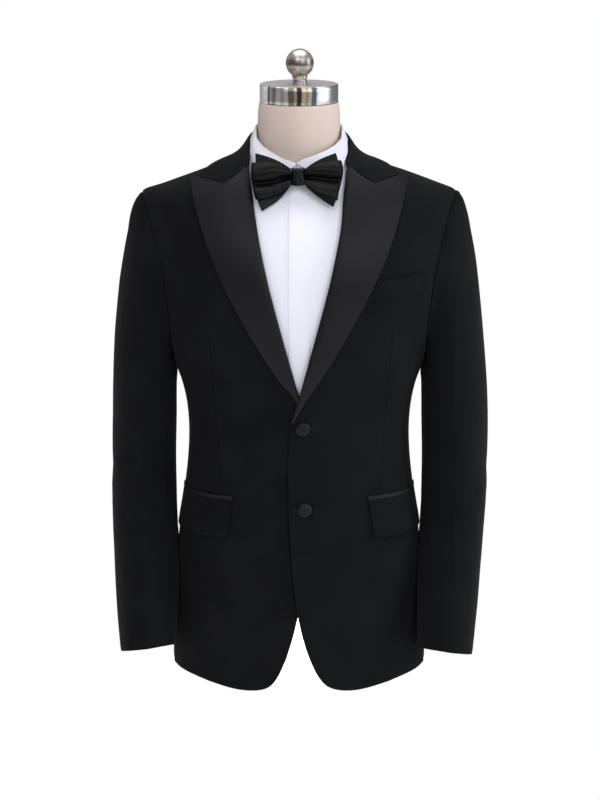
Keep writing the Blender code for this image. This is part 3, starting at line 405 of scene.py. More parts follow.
SEAM_DEEP, SEAM_REACH = 0.0006, 0.0028   # how a pressed seam sinks, and over what width
SEAM_SHUT = 0.00026      # each cloth is carried this far on to the next


def sink_seams(piece, co, sewn, toward):
    """Draw the cloth in along the sewn edges, so that each seam reads as a fine groove.

    toward is the way round to the next panel: the edges are carried on to it and shut.
    """
    near = bell(gap_to(co[rim_of(piece, co, sewn)], co), SEAM_REACH)[:, None]
    return co - into_seam(co) * SEAM_DEEP * near + toward * SEAM_SHUT * near


GROOVE_DEEP, GROOVE_HALF = 0.0013, 0.0018        # the line where a sleeve is set in
TURN_IN, SWELL = 0.0020, 0.009   # how far both cloths turn in, and where the next swell stands


def hollow(co, edge, reach, beside=0.0):
    """A crisp line at the sewn edge; toward the underarm both cloths turn in to it."""
    gap = gap_to(edge, co)
    off = np.maximum(gap - GROOVE_HALF, 0) / SWELL
    low = ease(co[:, 2], 0.680, -0.150) * np.clip(co[:, 1] / 0.030, -1, 1)
    co = co - into_seam(co) * (GROOVE_DEEP * bell(gap, GROOVE_HALF))[:, None]
    co[:, 1] -= low * (TURN_IN * bell(gap, reach) + beside * off * np.exp(1 - off))
    return co


# dart: the points of its line at the front, x and height
DARTS = {"left": ((0.1345, 0.5500), (0.1300, 0.4700), (0.1245, 0.4000), (0.1155, 0.2985)),
         "right": ((-0.1288, 0.5410), (-0.1255, 0.4700), (-0.1190, 0.3900), (-0.1118, 0.2985))}
DART_HALF, DART_DEEP = 0.0010, 0.0015
DART_FADE_UP, DART_FADE_DOWN = 0.024, 0.010      # lengths over which it runs out
DART_SEEN = -0.2         # only faces that look forward, by their normal's y, are sewn
# folds on the body, each on the map (metres round from centre front, height)
FRONT_FOLDS = {
    "left": (([(0.010, 0.385), (0.075, 0.352), (0.120, 0.345)], 0.012, -0.0006),
             ([(0.010, 0.405), (0.070, 0.430), (0.125, 0.470)], 0.014, -0.0007),
             ([(0.060, 0.270), (0.095, 0.170), (0.105, 0.060)], 0.022, -0.0010),
             ([(0.150, 0.250), (0.160, 0.150), (0.165, 0.050)], 0.020, 0.0012),
             ([(0.215, 0.560), (0.190, 0.520), (0.175, 0.470)], 0.014, -0.0012)),
    "right": (([(-0.012, 0.388), (-0.080, 0.360), (-0.130, 0.350)], 0.013, -0.0006),
              ([(-0.012, 0.410), (-0.080, 0.440), (-0.130, 0.480)], 0.013, -0.0006),
              ([(-0.070, 0.260), (-0.090, 0.160), (-0.110, 0.070)], 0.024, -0.0010),
              ([(-0.160, 0.240), (-0.155, 0.140), (-0.170, 0.060)], 0.020, 0.0011),
              ([(-0.210, 0.565), (-0.192, 0.515), (-0.170, 0.480)], 0.013, -0.0011)),
}
BACK_FOLDS = {
    "left": (([(0.520, 0.380), (0.440, 0.395), (0.370, 0.420)], 0.016, -0.0018),
             ([(0.510, 0.415), (0.440, 0.440), (0.380, 0.480)], 0.013, 0.0012),
             ([(0.400, 0.600), (0.385, 0.540), (0.370, 0.490)], 0.015, -0.0022),
             ([(0.460, 0.270), (0.470, 0.180), (0.465, 0.080)], 0.020, -0.0015)),
    "right": (([(-0.520, 0.372), (-0.450, 0.388), (-0.380, 0.428)], 0.015, -0.0016),
              ([(-0.505, 0.425), (-0.450, 0.445), (-0.375, 0.470)], 0.014, 0.0013),
              ([(-0.405, 0.590), (-0.380, 0.535), (-0.375, 0.480)], 0.016, -0.0020),
              ([(-0.455, 0.260), (-0.450, 0.170), (-0.470, 0.090)], 0.021, -0.0016)),
}


def sew_dart(piece, line):
    """Cut the dart's line into the cloth and draw it in, tapering at both ends."""
    bm = bmesh.new()
    bm.from_mesh(piece.data)
    middle, heights = zip(*reversed(line))
    low, high = heights[0], heights[-1]
    for (xa, za), (xb, zb) in zip(line, line[1:]):
        across = Vector((zb - za, 0, xa - xb)).normalized()
        for shift in (-DART_HALF, 0.0, DART_HALF):
            at = Vector((xa, 0, za)) + across * shift
            faces = [f for f in bm.faces if f.normal.y < DART_SEEN
                     and zb - 0.003 < f.calc_center_median().z < za + 0.003
                     and abs((f.calc_center_median() - at).dot(across)) < 0.012]
            edges = {e for f in faces for e in f.edges}
            verts = {v for f in faces for v in f.verts}
            bmesh.ops.bisect_plane(bm, geom=faces + list(edges) + list(verts), dist=1e-6,
                                   plane_co=at, plane_no=across)
    for v in bm.verts:
        if v.normal.y > DART_SEEN or not low < v.co.z < high:
            continue
        if abs(v.co.x - np.interp(v.co.z, heights, middle)) < 0.0003:
            fade = min(1.0, (high - v.co.z) / DART_FADE_UP,
                       (v.co.z - low + 0.004) / DART_FADE_DOWN)
            v.co -= v.normal * DART_DEEP * fade
    bm.to_mesh(piece.data)
    bm.free()


def body_seam(c):
    """True on the long seams, armholes and shoulders: not on the hem or front edges."""
    return abs(math.atan2(c[0], -c[1])) > 0.95


def on_armhole(c):
    """True on the edge that the sleeve is sewn to."""
    return abs(c[0]) > 0.135 and c[2] > 0.488 and abs(c[0]) - 0.1700 > 0.19 * (c[2] - 0.60)


LEFT_SHOULDER, RIGHT_SHOULDER = 0.0024, -0.0008  # how far each is carried up


def shoulders(co):
    """The left shoulder is carried a touch higher than the right."""
    x, y, z = co.T
    beside = ease(np.abs(x), 0.100, 0.050)
    z += np.where(x > 0, LEFT_SHOULDER, RIGHT_SHOULDER) * beside * ease(z, 0.660, 0.050)
    return co


# the closed edge of the left front, from the V down to where the quarters part: height, x
CLOSING = ((0.127, -0.0030), (0.171, -0.0086), (0.215, -0.0144), (0.287, -0.0158),
           (0.340, -0.0167), (0.378, -0.0144), (0.397, -0.0095), (0.424, -0.0030), (0.439, 0.0010))
CLOSE_IN, TUCK = 0.0026, 0.0040  # the edges are drawn together, and the right front sinks


def close(co, side, tuck=True):
    """Draw the two edges together at the foot of the V; the right front sinks under the left."""
    x, y, z = co.T
    foot = np.interp(z, (0.412, 0.436, 0.462), (0, 1, 0)) * ease(np.abs(x), 0.040, -0.020)
    x -= CLOSE_IN * foot * (1 if side == "left" else -1)
    if side == "right" and tuck:
        there = ease(z, 0.100, 0.040) * ease(z, 0.352, -0.040)
        y += TUCK * there * bell(x - np.interp(z, *zip(*CLOSING)), 0.018)
    return co


def underarm(co, height):
    """1 at the lowest point of the armhole, fading round it."""
    return bell(co[:, 2] - height, 0.014) * bell(co[:, 1], 0.050)


# cut sizes of the panels: width, length, area
CUT = {"front_": (0.262, 0.790, 0.155), "side_": (0.120, 0.505, 0.054),
       "back_": (0.245, 0.775, 0.145)}
armhole = {"left": [], "right": []}
SHOULDER_POINT = (0.2198, 0.7295)        # out and up; the pad squares it
SHOULDER_OUT = np.array([0.0030, 0.0, -0.0010])
for side in ("left", "right"):
    for name, folds in (("front_", FRONT_FOLDS[side]), ("side_", ()), ("back_", BACK_FOLDS[side])):
        piece = panel(name + side, wool, 3 if name != "side_" else 2)
        co = points(piece)
        across, up, out = round_body(co)
        co = shoulders(press(co, across, up, out, folds))
        x, y, z = co.T
        square = bell(np.hypot(np.abs(x) - SHOULDER_POINT[0], z - SHOULDER_POINT[1]), 0.020)
        co += square[:, None] * np.sign(co[:, :1]) * SHOULDER_OUT
        if name == "front_":
            co = close(co, side)
        armhole[side] += list(co[rim_of(piece, co, on_armhole, 0.5)])
        turn = np.arctan2(x, -y)
        toward = np.stack([-y, x, 0 * turn], axis=1)
        toward *= np.sign(turn - turn.mean())[:, None]
        toward /= np.linalg.norm(toward, axis=1)[:, None]
        co = sink_seams(piece, co, body_seam, toward)
        co = hollow(co, co[rim_of(piece, co, on_armhole)], 0.009)
        co[:, 0] += 0.0018 * underarm(co, 0.472) * np.sign(co[:, 0]) * (name == "side_")
        set_points(piece, co)
        if name == "front_":
            sew_dart(piece, DARTS[side])
        lay_round(piece)
        width, length, area = CUT[name]

# ---------------------------------------------------------------- sleeves
# Two-piece sleeves in the same wool, set into the armholes and eased over a small
# pad, so the crown is smooth; they hang forward with the faintest break at the elbow.
# centre of each sleeve down its length: height, distance from the middle, depth
SLEEVE_LINE = ((0.0600, 0.2198, -0.0740), (0.1620, 0.2248, -0.0430), (0.2320, 0.2271, -0.0200),
               (0.2980, 0.2285, -0.0070), (0.3570, 0.2292, -0.0015), (0.4550, 0.2261, 0.0000),
               (0.7300, 0.2200, 0.0000))
SLEEVE_GIRTH = 0.055
INNER_FALL = 0.0110      # how far the inner front of each sleeve falls away from its cut
SLEEVE_FOLDS = {
    "left": (([(-0.080, 0.330), (-0.020, 0.318), (0.040, 0.330)], 0.012, -0.0010),
             ([(-0.150, 0.352), (-0.090, 0.338), (-0.040, 0.345)], 0.010, -0.0016),
             ([(-0.010, 0.300), (0.050, 0.285), (0.090, 0.290)], 0.012, 0.0008),
             ([(0.060, 0.480), (0.030, 0.400), (0.045, 0.330)], 0.018, -0.0009),
             ([(0.020, 0.200), (0.050, 0.140), (0.040, 0.080)], 0.018, -0.0008)),
    "right": (([(-0.080, 0.322), (-0.015, 0.326), (0.045, 0.320)], 0.013, -0.0010),
              ([(-0.150, 0.345), (-0.095, 0.345), (-0.045, 0.338)], 0.011, -0.0015),
              ([(-0.005, 0.290), (0.045, 0.295), (0.085, 0.282)], 0.011, 0.0008),
              ([(0.055, 0.500), (0.035, 0.420), (0.050, 0.350)], 0.018, -0.0009),
              ([(0.025, 0.210), (0.045, 0.150), (0.030, 0.090)], 0.017, -0.0009)),
}


# how the sleeves hang: height, then out at the right and the left sleeve's outer side,
# and in toward the body at their inner sides
HANG = ((0.745, 0.0030, 0.0026, 0.0, 0.0), (0.715, 0.0040, 0.0036, 0.0, 0.0),
        (0.700, 0.0030, 0.0026, 0.0, 0.0), (0.671, 0.0004, 0.0016, 0.0, 0.0),
        (0.634, 0.0015, 0.0027, 0.0, 0.0), (0.598, 0.0028, 0.0028, 0.0, 0.0),
        (0.524, 0.0028, 0.0028, 0.0, 0.0), (0.4875, 0.0015, 0.0028, 0.0, 0.0),
        (0.451, 0.0, 0.0028, 0.0, 0.0), (0.400, -0.0014, 0.0028, 0.0014, 0.0012),
        (0.341, -0.0014, 0.0014, 0.0014, 0.0014), (0.267, 0.0012, 0.0014, 0.0014, 0.0014),
        (0.232, 0.0014, 0.0, 0.0030, 0.0034), (0.205, 0.0007, -0.0006, 0.0062, 0.0052),
        (0.170, 0.0, -0.0012, 0.0054, 0.0040),
        (0.120, -0.0010, -0.0014, 0.0040, 0.0020), (0.060, -0.0020, -0.0024, 0.0, 0.0))
SLEEVE_CUT = {"sleeve_top_": (0.215, 0.690, 0.126), "sleeve_under_": (0.150, 0.590, 0.073)}


def hang_sleeve(co, across, sign):
    """Move the outer and inner sides of a sleeve to where they hang."""
    x, y, z = co.T
    heights, *moves = zip(*reversed(HANG))
    outer, inner = [np.interp(z, heights, moves[k + (sign > 0)]) for k in (0, 2)]
    facing = np.cos(across / SLEEVE_GIRTH)
    x += sign * (outer * np.clip(facing, 0, 1) + inner * np.clip(facing, -1, 0))
    front = np.clip(np.sin(across / SLEEVE_GIRTH), 0, 1)     # the inner side falls away, round
    y += INNER_FALL * ease(z, 0.640, -0.120) * front * np.clip(-facing, 0, 1) ** 0.8
    return co


def round_sleeve(co, sign):
    """Map and outward direction on a sleeve: round from its outer side, forward first."""
    x, y, z = co.T
    heights, middle, depth = zip(*SLEEVE_LINE)
    dx, dy = x * sign - np.interp(z, heights, middle), y - np.interp(z, heights, depth)
    out = np.stack([dx * sign, dy * 0.7, 0 * z], axis=1)
    out /= np.maximum(np.linalg.norm(out, axis=1), 1e-6)[:, None]
    return SLEEVE_GIRTH * np.arctan2(-dy, dx), z, out


HEAD_FROM = 0.0065       # the head's edge is what lies this near to the armhole
EASED, EASED_PAST = 0.022, 0.060         # it is eased over this much, and not at all past that


def set_in(piece, co, hole):
    """Draw the head of a sleeve onto the edge of the armhole, easing away down the sleeve."""
    head = rim_of(piece, co, lambda c: np.min(np.linalg.norm(hole - c, axis=1)) < HEAD_FROM, 0.2)
    shift = np.array([hole[np.argmin(np.linalg.norm(hole - co[v], axis=1))] - co[v] for v in head])
    tree = search_tree(co[head])
    moved = co.copy()
    for i, c in enumerate(co):
        near = tree.find_n(c, 9)
        if near[0][2] > EASED_PAST:
            continue
        weight = np.array([math.exp(-((d - near[0][2]) / 0.0025) ** 2) for _, _, d in near])
        step = (weight[:, None] * shift[[k for _, k, _ in near]]).sum(axis=0) / weight.sum()
        moved[i] += step * math.exp(-(near[0][2] / EASED) ** 2)
    return moved


for side, sign in (("left", 1), ("right", -1)):
    hole = np.array(armhole[side])
    for name in ("sleeve_top_", "sleeve_under_"):
        below = "sleeve_fore_" + side if name == "sleeve_top_" else None
        piece = panel(name + side, wool, 3, below=below)
        across, up, out = round_sleeve(points(piece), sign)
        co = press(points(piece), across, up, out, SLEEVE_FOLDS[side])
        co = set_in(piece, hang_sleeve(shoulders(co), across, sign), hole)
        turn = across / SLEEVE_GIRTH
        way = np.sign(turn) * (1 if name == "sleeve_top_" else -1)
        toward = np.stack([-np.sin(turn) * sign, -np.cos(turn), 0 * turn], axis=1) * way[:, None]
        co = sink_seams(piece, co, lambda c: True, toward)
        co = hollow(co, hole, 0.012, beside=0.0075)
        co[:, 0] -= 0.0022 * underarm(co, 0.470) * sign * (name == "sleeve_under_")
        set_points(piece, co)
        lay(piece, across, up)
        width, length, area = SLEEVE_CUT[name]

# ---------------------------------------------------------------- collar, flaps and welt
# The top collar is wool, stand and fall in one, and meets the lapels at the gorge.
# The pocket flaps and the breast welt are wool, folded double and edge-pressed.
# name: width, length, area of the cut, how it is held, what it lies on
SMALL_WOOL = {"collar": (0.430, 0.078, 0.0316, "folded", "shirt_collar_leaf"),
              "pocket_flap_left": (0.137, 0.057, 0.0077, "laid", "front_left"),
              "pocket_flap_right": (0.137, 0.057, 0.0077, "laid", "front_right"),
              "breast_welt": (0.072, 0.031, 0.0021, "laid", "front_left")}
# a flap's lower edge stands off from this height down, its end lies close from this far out
FLAP_TOP, POCKET_END = 0.285, 0.140
FLAP_OFF, FLAP_CLOSE = 0.0016, 0.0028
WELT_PROUD, WELT_MORE, WELT_ON = 0.0003, 0.0008, 0.0050  # it stands off, and runs on inward
COLLAR_SINK, COLLAR_WIDER, COLLAR_OPEN = 0.0052, 0.0016, 0.0012
COLLAR_IN = (0.0024, 0.0022)     # its left and its right end lie this far to the wearer's right
GORGE = (0.069, 0.772)           # its front corner, out and up, and how it settles
GORGE_MOVE = np.array([0.0, -0.0046, -0.0018])
for name, (width, length, area, held, under) in SMALL_WOOL.items():
    piece = panel(name, wool, 2)
    co = points(piece)
    x, y, z = co.T
    if "flap" in name:
        low = ease(z, FLAP_TOP, -0.045) ** 2
        end = ease(np.abs(x), POCKET_END, 0.030)
        co += outward(co) * (FLAP_OFF * low * (1 - end) - FLAP_CLOSE * end)[:, None]
    elif name == "breast_welt":
        run = (x - x.min()) / np.ptp(x)
        y -= WELT_PROUD + WELT_MORE * run
        x -= WELT_ON * np.clip(1 - run / 0.3, 0, 1)
    else:                        # the collar settles a little lower round the neck
        low = ease(z, 0.772, 0.030) * ease(y, -0.060, 0.030)
        z -= COLLAR_SINK * low
        x += COLLAR_WIDER * low * np.clip(x / 0.060, -1, 1)
        away = np.abs(x)         # and stands a little open at the sides of the neck
        beside = ease(away, 0.045, 0.015) * ease(away, 0.088, -0.010)
        beside *= ease(y, -0.034, 0.015) * ease(z, 0.770, 0.010)
        x += COLLAR_OPEN * np.sign(x) * beside
        end = ease(z, 0.812, -0.046) * ease(y, -0.020, -0.020)
        reach = np.clip(away - 0.066, 0, 1) / np.where(x > 0, 0.030, 0.010)
        x -= end * np.where(x > 0, *COLLAR_IN) * bell(reach, 1)
        corner = np.hypot(away - GORGE[0], z - GORGE[1]) * np.where(y < -0.02, 1, 9)
        co += bell(corner, 0.010)[:, None] * GORGE_MOVE
        co = shoulders(co)
    set_points(piece, co)
    lay_round(piece)

# ---------------------------------------------------------------- lapels and jets
# Black silk satin faces the lapels and the pocket jets: a smooth warp face that
# throws a broad, soft light.  The lapels roll back from the front edge.
SATIN = (0.0050, 0.0045, 0.0062)
SATIN_RIB, SATIN_SLANT, SATIN_RELIEF = 0.00035, 0.15, 0.00004
JET_PAINTED_LIGHT = 2.6        # the jets' satin is painted this many times lighter: a painted highlight
satin = cloth("black_satin", SATIN, spread=0.22, rough=0.47, specular=0.17, rib=SATIN_RIB,
              relief=SATIN_RELIEF, slant=SATIN_SLANT, patch=0.05)
# the jets wear a lighter copy of the satin: painted highlight
jet_satin_painted_light = cloth("jet_satin_painted_light", [JET_PAINTED_LIGHT * c for c in SATIN], spread=0.15, rough=0.55,
                  specular=0.08, rib=SATIN_RIB, relief=SATIN_RELIEF, slant=SATIN_SLANT, patch=0.03)
# the lapel's inner edge is found row by row: lowest row, height of a row, how many
ROW_FROM, ROW_TALL, ROWS = 0.40, 0.010, 40
ROLL_FULL = 0.0008       # how far the roll stands out
LEFT_IN, CORNER_UP = 0.0033, 0.0014      # the left one lies further in; both corners rise
LAPEL_END = 0.446        # from here down the lapels taper to their ends
LEFT_END, RIGHT_END = np.array([0.0105, 0.0008, 0.0105]), np.array([0.0040, 0.0006, -0.0120])
JET_CLOSE = 0.0016       # the jets' outer ends lie close
SATIN_CUT = {"lapel_left": (0.098, 0.362, 0.0225, "folded"),
             "lapel_right": (0.098, 0.335, 0.0221, "folded"),
             "pocket_jet_left": (0.139, 0.010, 0.0009, "laid"),
             "pocket_jet_right": (0.139, 0.010, 0.0009, "laid")}
for name, (width, length, area, held) in SATIN_CUT.items():
    side = name.split("_")[-1]
    piece = panel(name, satin if "lapel" in name else jet_satin_painted_light, 2)
    co = points(piece)
    x, y, z = co.T
    if "lapel" in name:          # the roll is full: it turns back in a rounded edge
        row = (z - ROW_FROM) / ROW_TALL
        cells = np.clip(row.astype(int), 0, ROWS - 1)
        inner = [np.abs(x[np.abs(cells - k) < 2]).min(initial=0.2) for k in range(ROWS)]
        gone = np.abs(x) - np.interp(row - 0.5, np.arange(ROWS), inner)
        full = bell(gone, 0.0080) * ease(z, 0.742, -0.03)
        y -= ROLL_FULL * full * ease(z, 0.445, 0.03)
        co = close(co, side, tuck=False)
        if side == "left":
            top = np.interp(z, (0.690, 0.728, 0.765), (0, 0.72, 1))
            x -= LEFT_IN * top * bell(np.clip(x - 0.066, 0, 1), 0.030)
        z += CORNER_UP * bell(gone, 0.006) * ease(z, 0.758, 0.006)
        tip = ease(z, LAPEL_END, z.min() - LAPEL_END)[:, None]
        if side == "left":       # it runs out to nothing along the closing edge
            co -= tip ** 1.4 * LEFT_END
        else:
            co += tip * RIGHT_END
    else:
        co -= outward(co) * (JET_CLOSE * ease(np.abs(x), POCKET_END, 0.030))[:, None]
    set_points(piece, shoulders(co))
    lay_round(piece)

# ---------------------------------------------------------------- buttons and buttonholes
# Two domed buttons covered in the same satin close the jacket.  Each stands on its
# shank in a buttonhole that is worked round in silk thread through the left front.
BUTTON_DOME = 0.0020
for name in ("button_upper", "button_lower"):
    piece = panel(name, satin, 3, sharp=70)
    co = points(piece)
    x, y, z = co.T
    middle = (co.min(axis=0) + co.max(axis=0)) / 2
    away = np.hypot(x - middle[0], z - middle[2]) / (np.ptp(x) / 2)
    y -= np.where(y < middle[1], BUTTON_DOME * np.clip(1 - away ** 2, 0, 1), 0)
    set_points(piece, co)
    lay_round(piece)

# outer end, inner end, height
HOLES = (("buttonhole_upper", 0.0265, 0.0080, 0.3992),
         ("buttonhole_lower", 0.0270, -0.0092, 0.2795))
HOLE_HALF, THREAD_HALF = 0.0012, 0.00040
STITCHES, STITCH_DEEP, THREAD_FLAT = 48, 0.18, 0.7
IN_FRONT = -0.3          # the front's face is looked for from here
front = bpy.data.objects["front_left_cloth"].data
front_face = BVHTree.FromPolygons([v.co for v in front.vertices],
                                  [tuple(f.vertices) for f in front.polygons])
silk = cloth("buttonhole_silk", (0.0080, 0.0078, 0.0090), spread=0.2, rough=0.55, specular=0.15,
             rib=0.0004, relief=0.00005)
for name, outer_x, inner_x, height in HOLES:
    deselect()
    bpy.ops.mesh.primitive_torus_add(major_segments=STITCHES, minor_segments=10,
                                     major_radius=HOLE_HALF, minor_radius=THREAD_HALF,
                                     location=(0, 0, 0))
    hole = bpy.context.object
    hole.name = name
    x, y, z = points(hole).T
    x += np.sign(x) * ((outer_x - inner_x) / 2 - 0.0015)
    turns = np.linspace(0, STITCHES * 2 * math.pi, len(x), endpoint=False)
    stitch = 1 + STITCH_DEEP * np.cos(turns)
    co = np.stack([x + (outer_x + inner_x) / 2, z * THREAD_FLAT, y * stitch + height], axis=1)
    for c in co:                 # lay each point on the front's own face
        place = front_face.ray_cast(Vector((c[0], IN_FRONT, c[2])), Vector((0, 1, 0)))[0]
        c[1] += place.y + 0.0001
    set_points(hole, co)
    hole.data.flip_normals()
    bpy.ops.object.shade_smooth()
    hole.data.materials.append(silk)
    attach(hole, "root")
    lay_round(hole)

# ---------------------------------------------------------------- bow tie
# A ready-tied bow in the same satin, its colour painted darker as painted shade: each side a
# doubled front loop over a shorter tail, gathered by the knot so that the pleats fan out from it.
# the bow's satin is painted far darker than the lapels' satin: painted shade
bow_satin_painted_shade = cloth("bow_satin_painted_shade", (0.0014, 0.0014, 0.0019), spread=0.2, rough=0.37, specular=0.135,
                  rib=SATIN_RIB, relief=SATIN_RELIEF, slant=SATIN_SLANT, patch=0.03)
BOW_MID = 0.7640         # height of the knot's middle before it hangs
BOW_PLANE = (-0.0884, -0.0400, 0.34)     # mid plane of the loops: y, fall outward, lean
KNOT_HALF, BOW_LONG = 0.009, 0.0520      # the loops run from the knot's edge, this far
# each front loop is drawn in along one deep crease between two full lobes.  Heights from
# the middle: upper edge, crease, lower edge, each at the knot and at the tip
LOBES = {"left": (0.0106, 0.0216, 0.0000, -0.0078, -0.0127, -0.0505),
         "right": (0.0102, 0.0182, 0.0000, -0.0122, -0.0118, -0.0346)}
# how far the crease draws in and the lobes stand out, at the knot and at the tip
CREASE_IN, LOBE_OUT = (0.0060, 0.0060), (0.0026, 0.0085)
BOW_SINK = 0.0041        # the knot hangs this far below the middle of the band
BOW_SHIFT = -0.0014      # and this far off centre
BOW_CUT = {"bow_wing_left": (0.064, 0.115, 0.0052), "bow_wing_right": (0.064, 0.110, 0.0048),
           "bow_tail_left": (0.058, 0.066, 0.0026), "bow_tail_right": (0.060, 0.070, 0.0028)}
# fullness of the loops between knot and tip: upper edge, lower edge
FULLNESS = {"bow_wing_left": (0.0030, 0.0030), "bow_tail_left": (-0.0008, 0.0100),
            "bow_wing_right": (0.0040, 0.0050), "bow_tail_right": (0.0006, 0.0085)}
# the tails' tips: out and down at the upper corner, out behind the loop's lower corner
TAIL_TIP = {"left": (0.0022, 0.0034, 0.0), "right": (0.0, 0.0008, 0.0060)}
STEAMED, STEAM_TIMES = 0.5, 90   # how much and how often the fine pleats are steamed out


def from_knot(co):
    """0 at the knot, 1 at the loop's tip."""
    return ease(np.abs(co[:, 0]), KNOT_HALF, BOW_LONG)


def hang_bow(co, upper=0.0, lower=0.0):
    """Let the knot hang, and fill the loops out above and below the pleats."""
    x, y, z = co.T
    far = from_knot(co)
    above = np.clip((z - BOW_MID) / 0.010, -1, 1)
    bulge = np.sin(math.pi * far ** 0.85)
    z += bulge * np.where(above > 0, upper * above, lower * above)
    z -= BOW_SINK * bell(x, 0.026) + 0.0014 * np.clip(above, 0, 1) * far
    x += BOW_SHIFT
    return co


def gather(co, edges):
    """Draw the crease into the front of a loop, fanning from the knot to its tip."""
    far = from_knot(co)
    height = co[:, 2] - BOW_MID
    plane = BOW_PLANE[0] + BOW_PLANE[1] * far * BOW_LONG + BOW_PLANE[2] * height
    front = ease(plane - co[:, 1], 0, 0.0020)
    upper, crease, lower = [edges[k] + (edges[k + 1] - edges[k]) * far for k in (0, 2, 4)]
    gone = np.clip(np.where(height > crease, (height - crease) / (upper - crease),
                            (crease - height) / (crease - lower)), 0, 1)
    deep, full = [a + (b - a) * far for a, b in (CREASE_IN, LOBE_OUT)]
    co[:, 1] += deep * (1 - gone) ** 2 - front * full * np.sin(math.pi * gone ** 0.85)
    return co


for side in ("left", "right"):
    for name in ("bow_wing_" + side, "bow_tail_" + side):
        piece = panel(name, bow_satin_painted_shade, 3, sharp=60)
        calm = piece.modifiers.new("calm", "SMOOTH")
        calm.use_x = calm.use_z = False
        calm.factor, calm.iterations = STEAMED, STEAM_TIMES
        bpy.ops.object.modifier_apply(modifier=calm.name)
        co = gather(points(piece), LOBES[side])
        if "tail" in name:       # the tail lies behind the loop, flat
            x, y, z = co.T
            y[:] = np.maximum(y, points(piece)[:, 1])
            far = from_knot(co) ** 2
            out, down, corner = TAIL_TIP[side]
            above = ease(z, BOW_MID, 0.020) * far
            low = np.interp(z, (0.7130, 0.7275, 0.7420, 0.7560), (0, 1, 1, 0)) * far
            x += np.sign(x) * (out * above + corner * low)
            z -= down * above
        set_points(piece, hang_bow(co, *FULLNESS[name]))
        lay_round(piece)
        width, length, area = BOW_CUT[name]

# the knot: a folded band wound once round, its folds slanting down to one side.  Each
# fold: where it starts across the knot, how it leans, its width and its height
KNOT_FOLDS = ((-0.75, 0.05, 0.10, -0.0007), (-0.45, 0.05, 0.08, -0.0006),
              (0.10, -0.75, 0.10, -0.0009), (0.55, 0.10, 0.16, 0.0006),
              (-0.10, 0.55, 0.12, -0.0005))
piece = panel("bow_knot", bow_satin_painted_shade, 3, sharp=60)
co = points(piece)
x, y, z = co.T
rise, across = (z - BOW_MID) / 0.012, x / 0.010
front = ease(y, BOW_PLANE[0], -0.0030)
for start, lean, thin, high in KNOT_FOLDS:
    y -= front * high * bell(across - start - lean * rise, thin)
x *= 1.12 - 0.07 * np.clip(rise, -1, 1)
set_points(piece, hang_bow(co))
lay_round(piece)

# ---------------------------------------------------------------- shirt
# White cotton poplin, closed by a covered placket, with a soft turned-down collar
# in two parts.  The band of the bow tie runs round under the collar's leaf.
COTTON = (0.79, 0.785, 0.85)
COLLAR_PAINTED_SHADE = 0.80      # the collar's cotton is painted this much darker: painted shade
POPLIN = {"spread": 0.02, "rough": 0.80, "specular": 0.25, "rib": 0.00045, "relief": 0.00004}
COLLAR_CLOSE = {"shirt_collar_leaf": 0.0023, "shirt_collar_stand": 0.0013}
COLLAR_TALL = {"shirt_collar_leaf": 0.030, "shirt_collar_stand": 0.024}
# width, length and area of each cut, how it is held, what it lies on
SHIRT_CUT = {"shirt_front_left": (0.245, 0.665, 0.154, "draped", "form_torso"),
             "shirt_front_right": (0.245, 0.665, 0.154, "draped", "form_torso"),
             "shirt_back": (0.500, 0.665, 0.304, "draped", "form_torso"),
             "shirt_placket": (0.031, 0.620, 0.019, "laid", "shirt_front_left"),
             "shirt_collar_stand": (0.400, 0.030, 0.0113, "folded", "form_torso"),
             "shirt_collar_leaf": (0.440, 0.050, 0.0155, "folded", "shirt_collar_stand")}
PLACKET_OUT, PLACKET_FLAT, PLACKET_HALF = 0.0010, 0.0003, 0.0138
THROAT_ASIDE, LEAF_SPRING = 0.0034, 0.0030       # the throat lies aside; the leaf springs out
# how far the worn collar rolls down at the front: distance from the middle, right, left
ROLL_DOWN = ((0.0000, 0.0100, 0.0086), (0.0100, 0.0115, 0.0080), (0.0243, 0.0163, 0.0110),
             (0.0387, 0.0181, 0.0150), (0.0509, 0.0190, 0.0172), (0.0591, 0.0140, 0.0138),
             (0.0625, 0.0060, 0.0060), (0.0660, 0.0, 0.0))
ROLL_CELL, ROLL_CELLS = 0.004, 31        # the collar's fold is found in steps from the middle


def roll_down(co, tall):
    """Lower the fold of the collar at the front, keeping its lower edge."""
    x, y, z = co.T
    away = np.abs(x)
    at, right, left = zip(*ROLL_DOWN)
    drop = np.where(x < 0, np.interp(away, at, right), np.interp(away, at, left))
    drop *= ease(y, 0.010, -0.030)
    front = y < 0.012
    cells = np.clip((away / ROLL_CELL).astype(int), 0, ROLL_CELLS - 1)
    top = [z[front & (np.abs(cells - k) < 2)].max(initial=0.70) for k in range(ROLL_CELLS)]
    high = np.interp(away / ROLL_CELL - 0.5, np.arange(ROLL_CELLS), top)
    z -= drop * np.clip(1 - (high - z) / tall, 0, 1) ** 0.8
    return co


cotton = cloth("white_poplin", COTTON, **POPLIN)
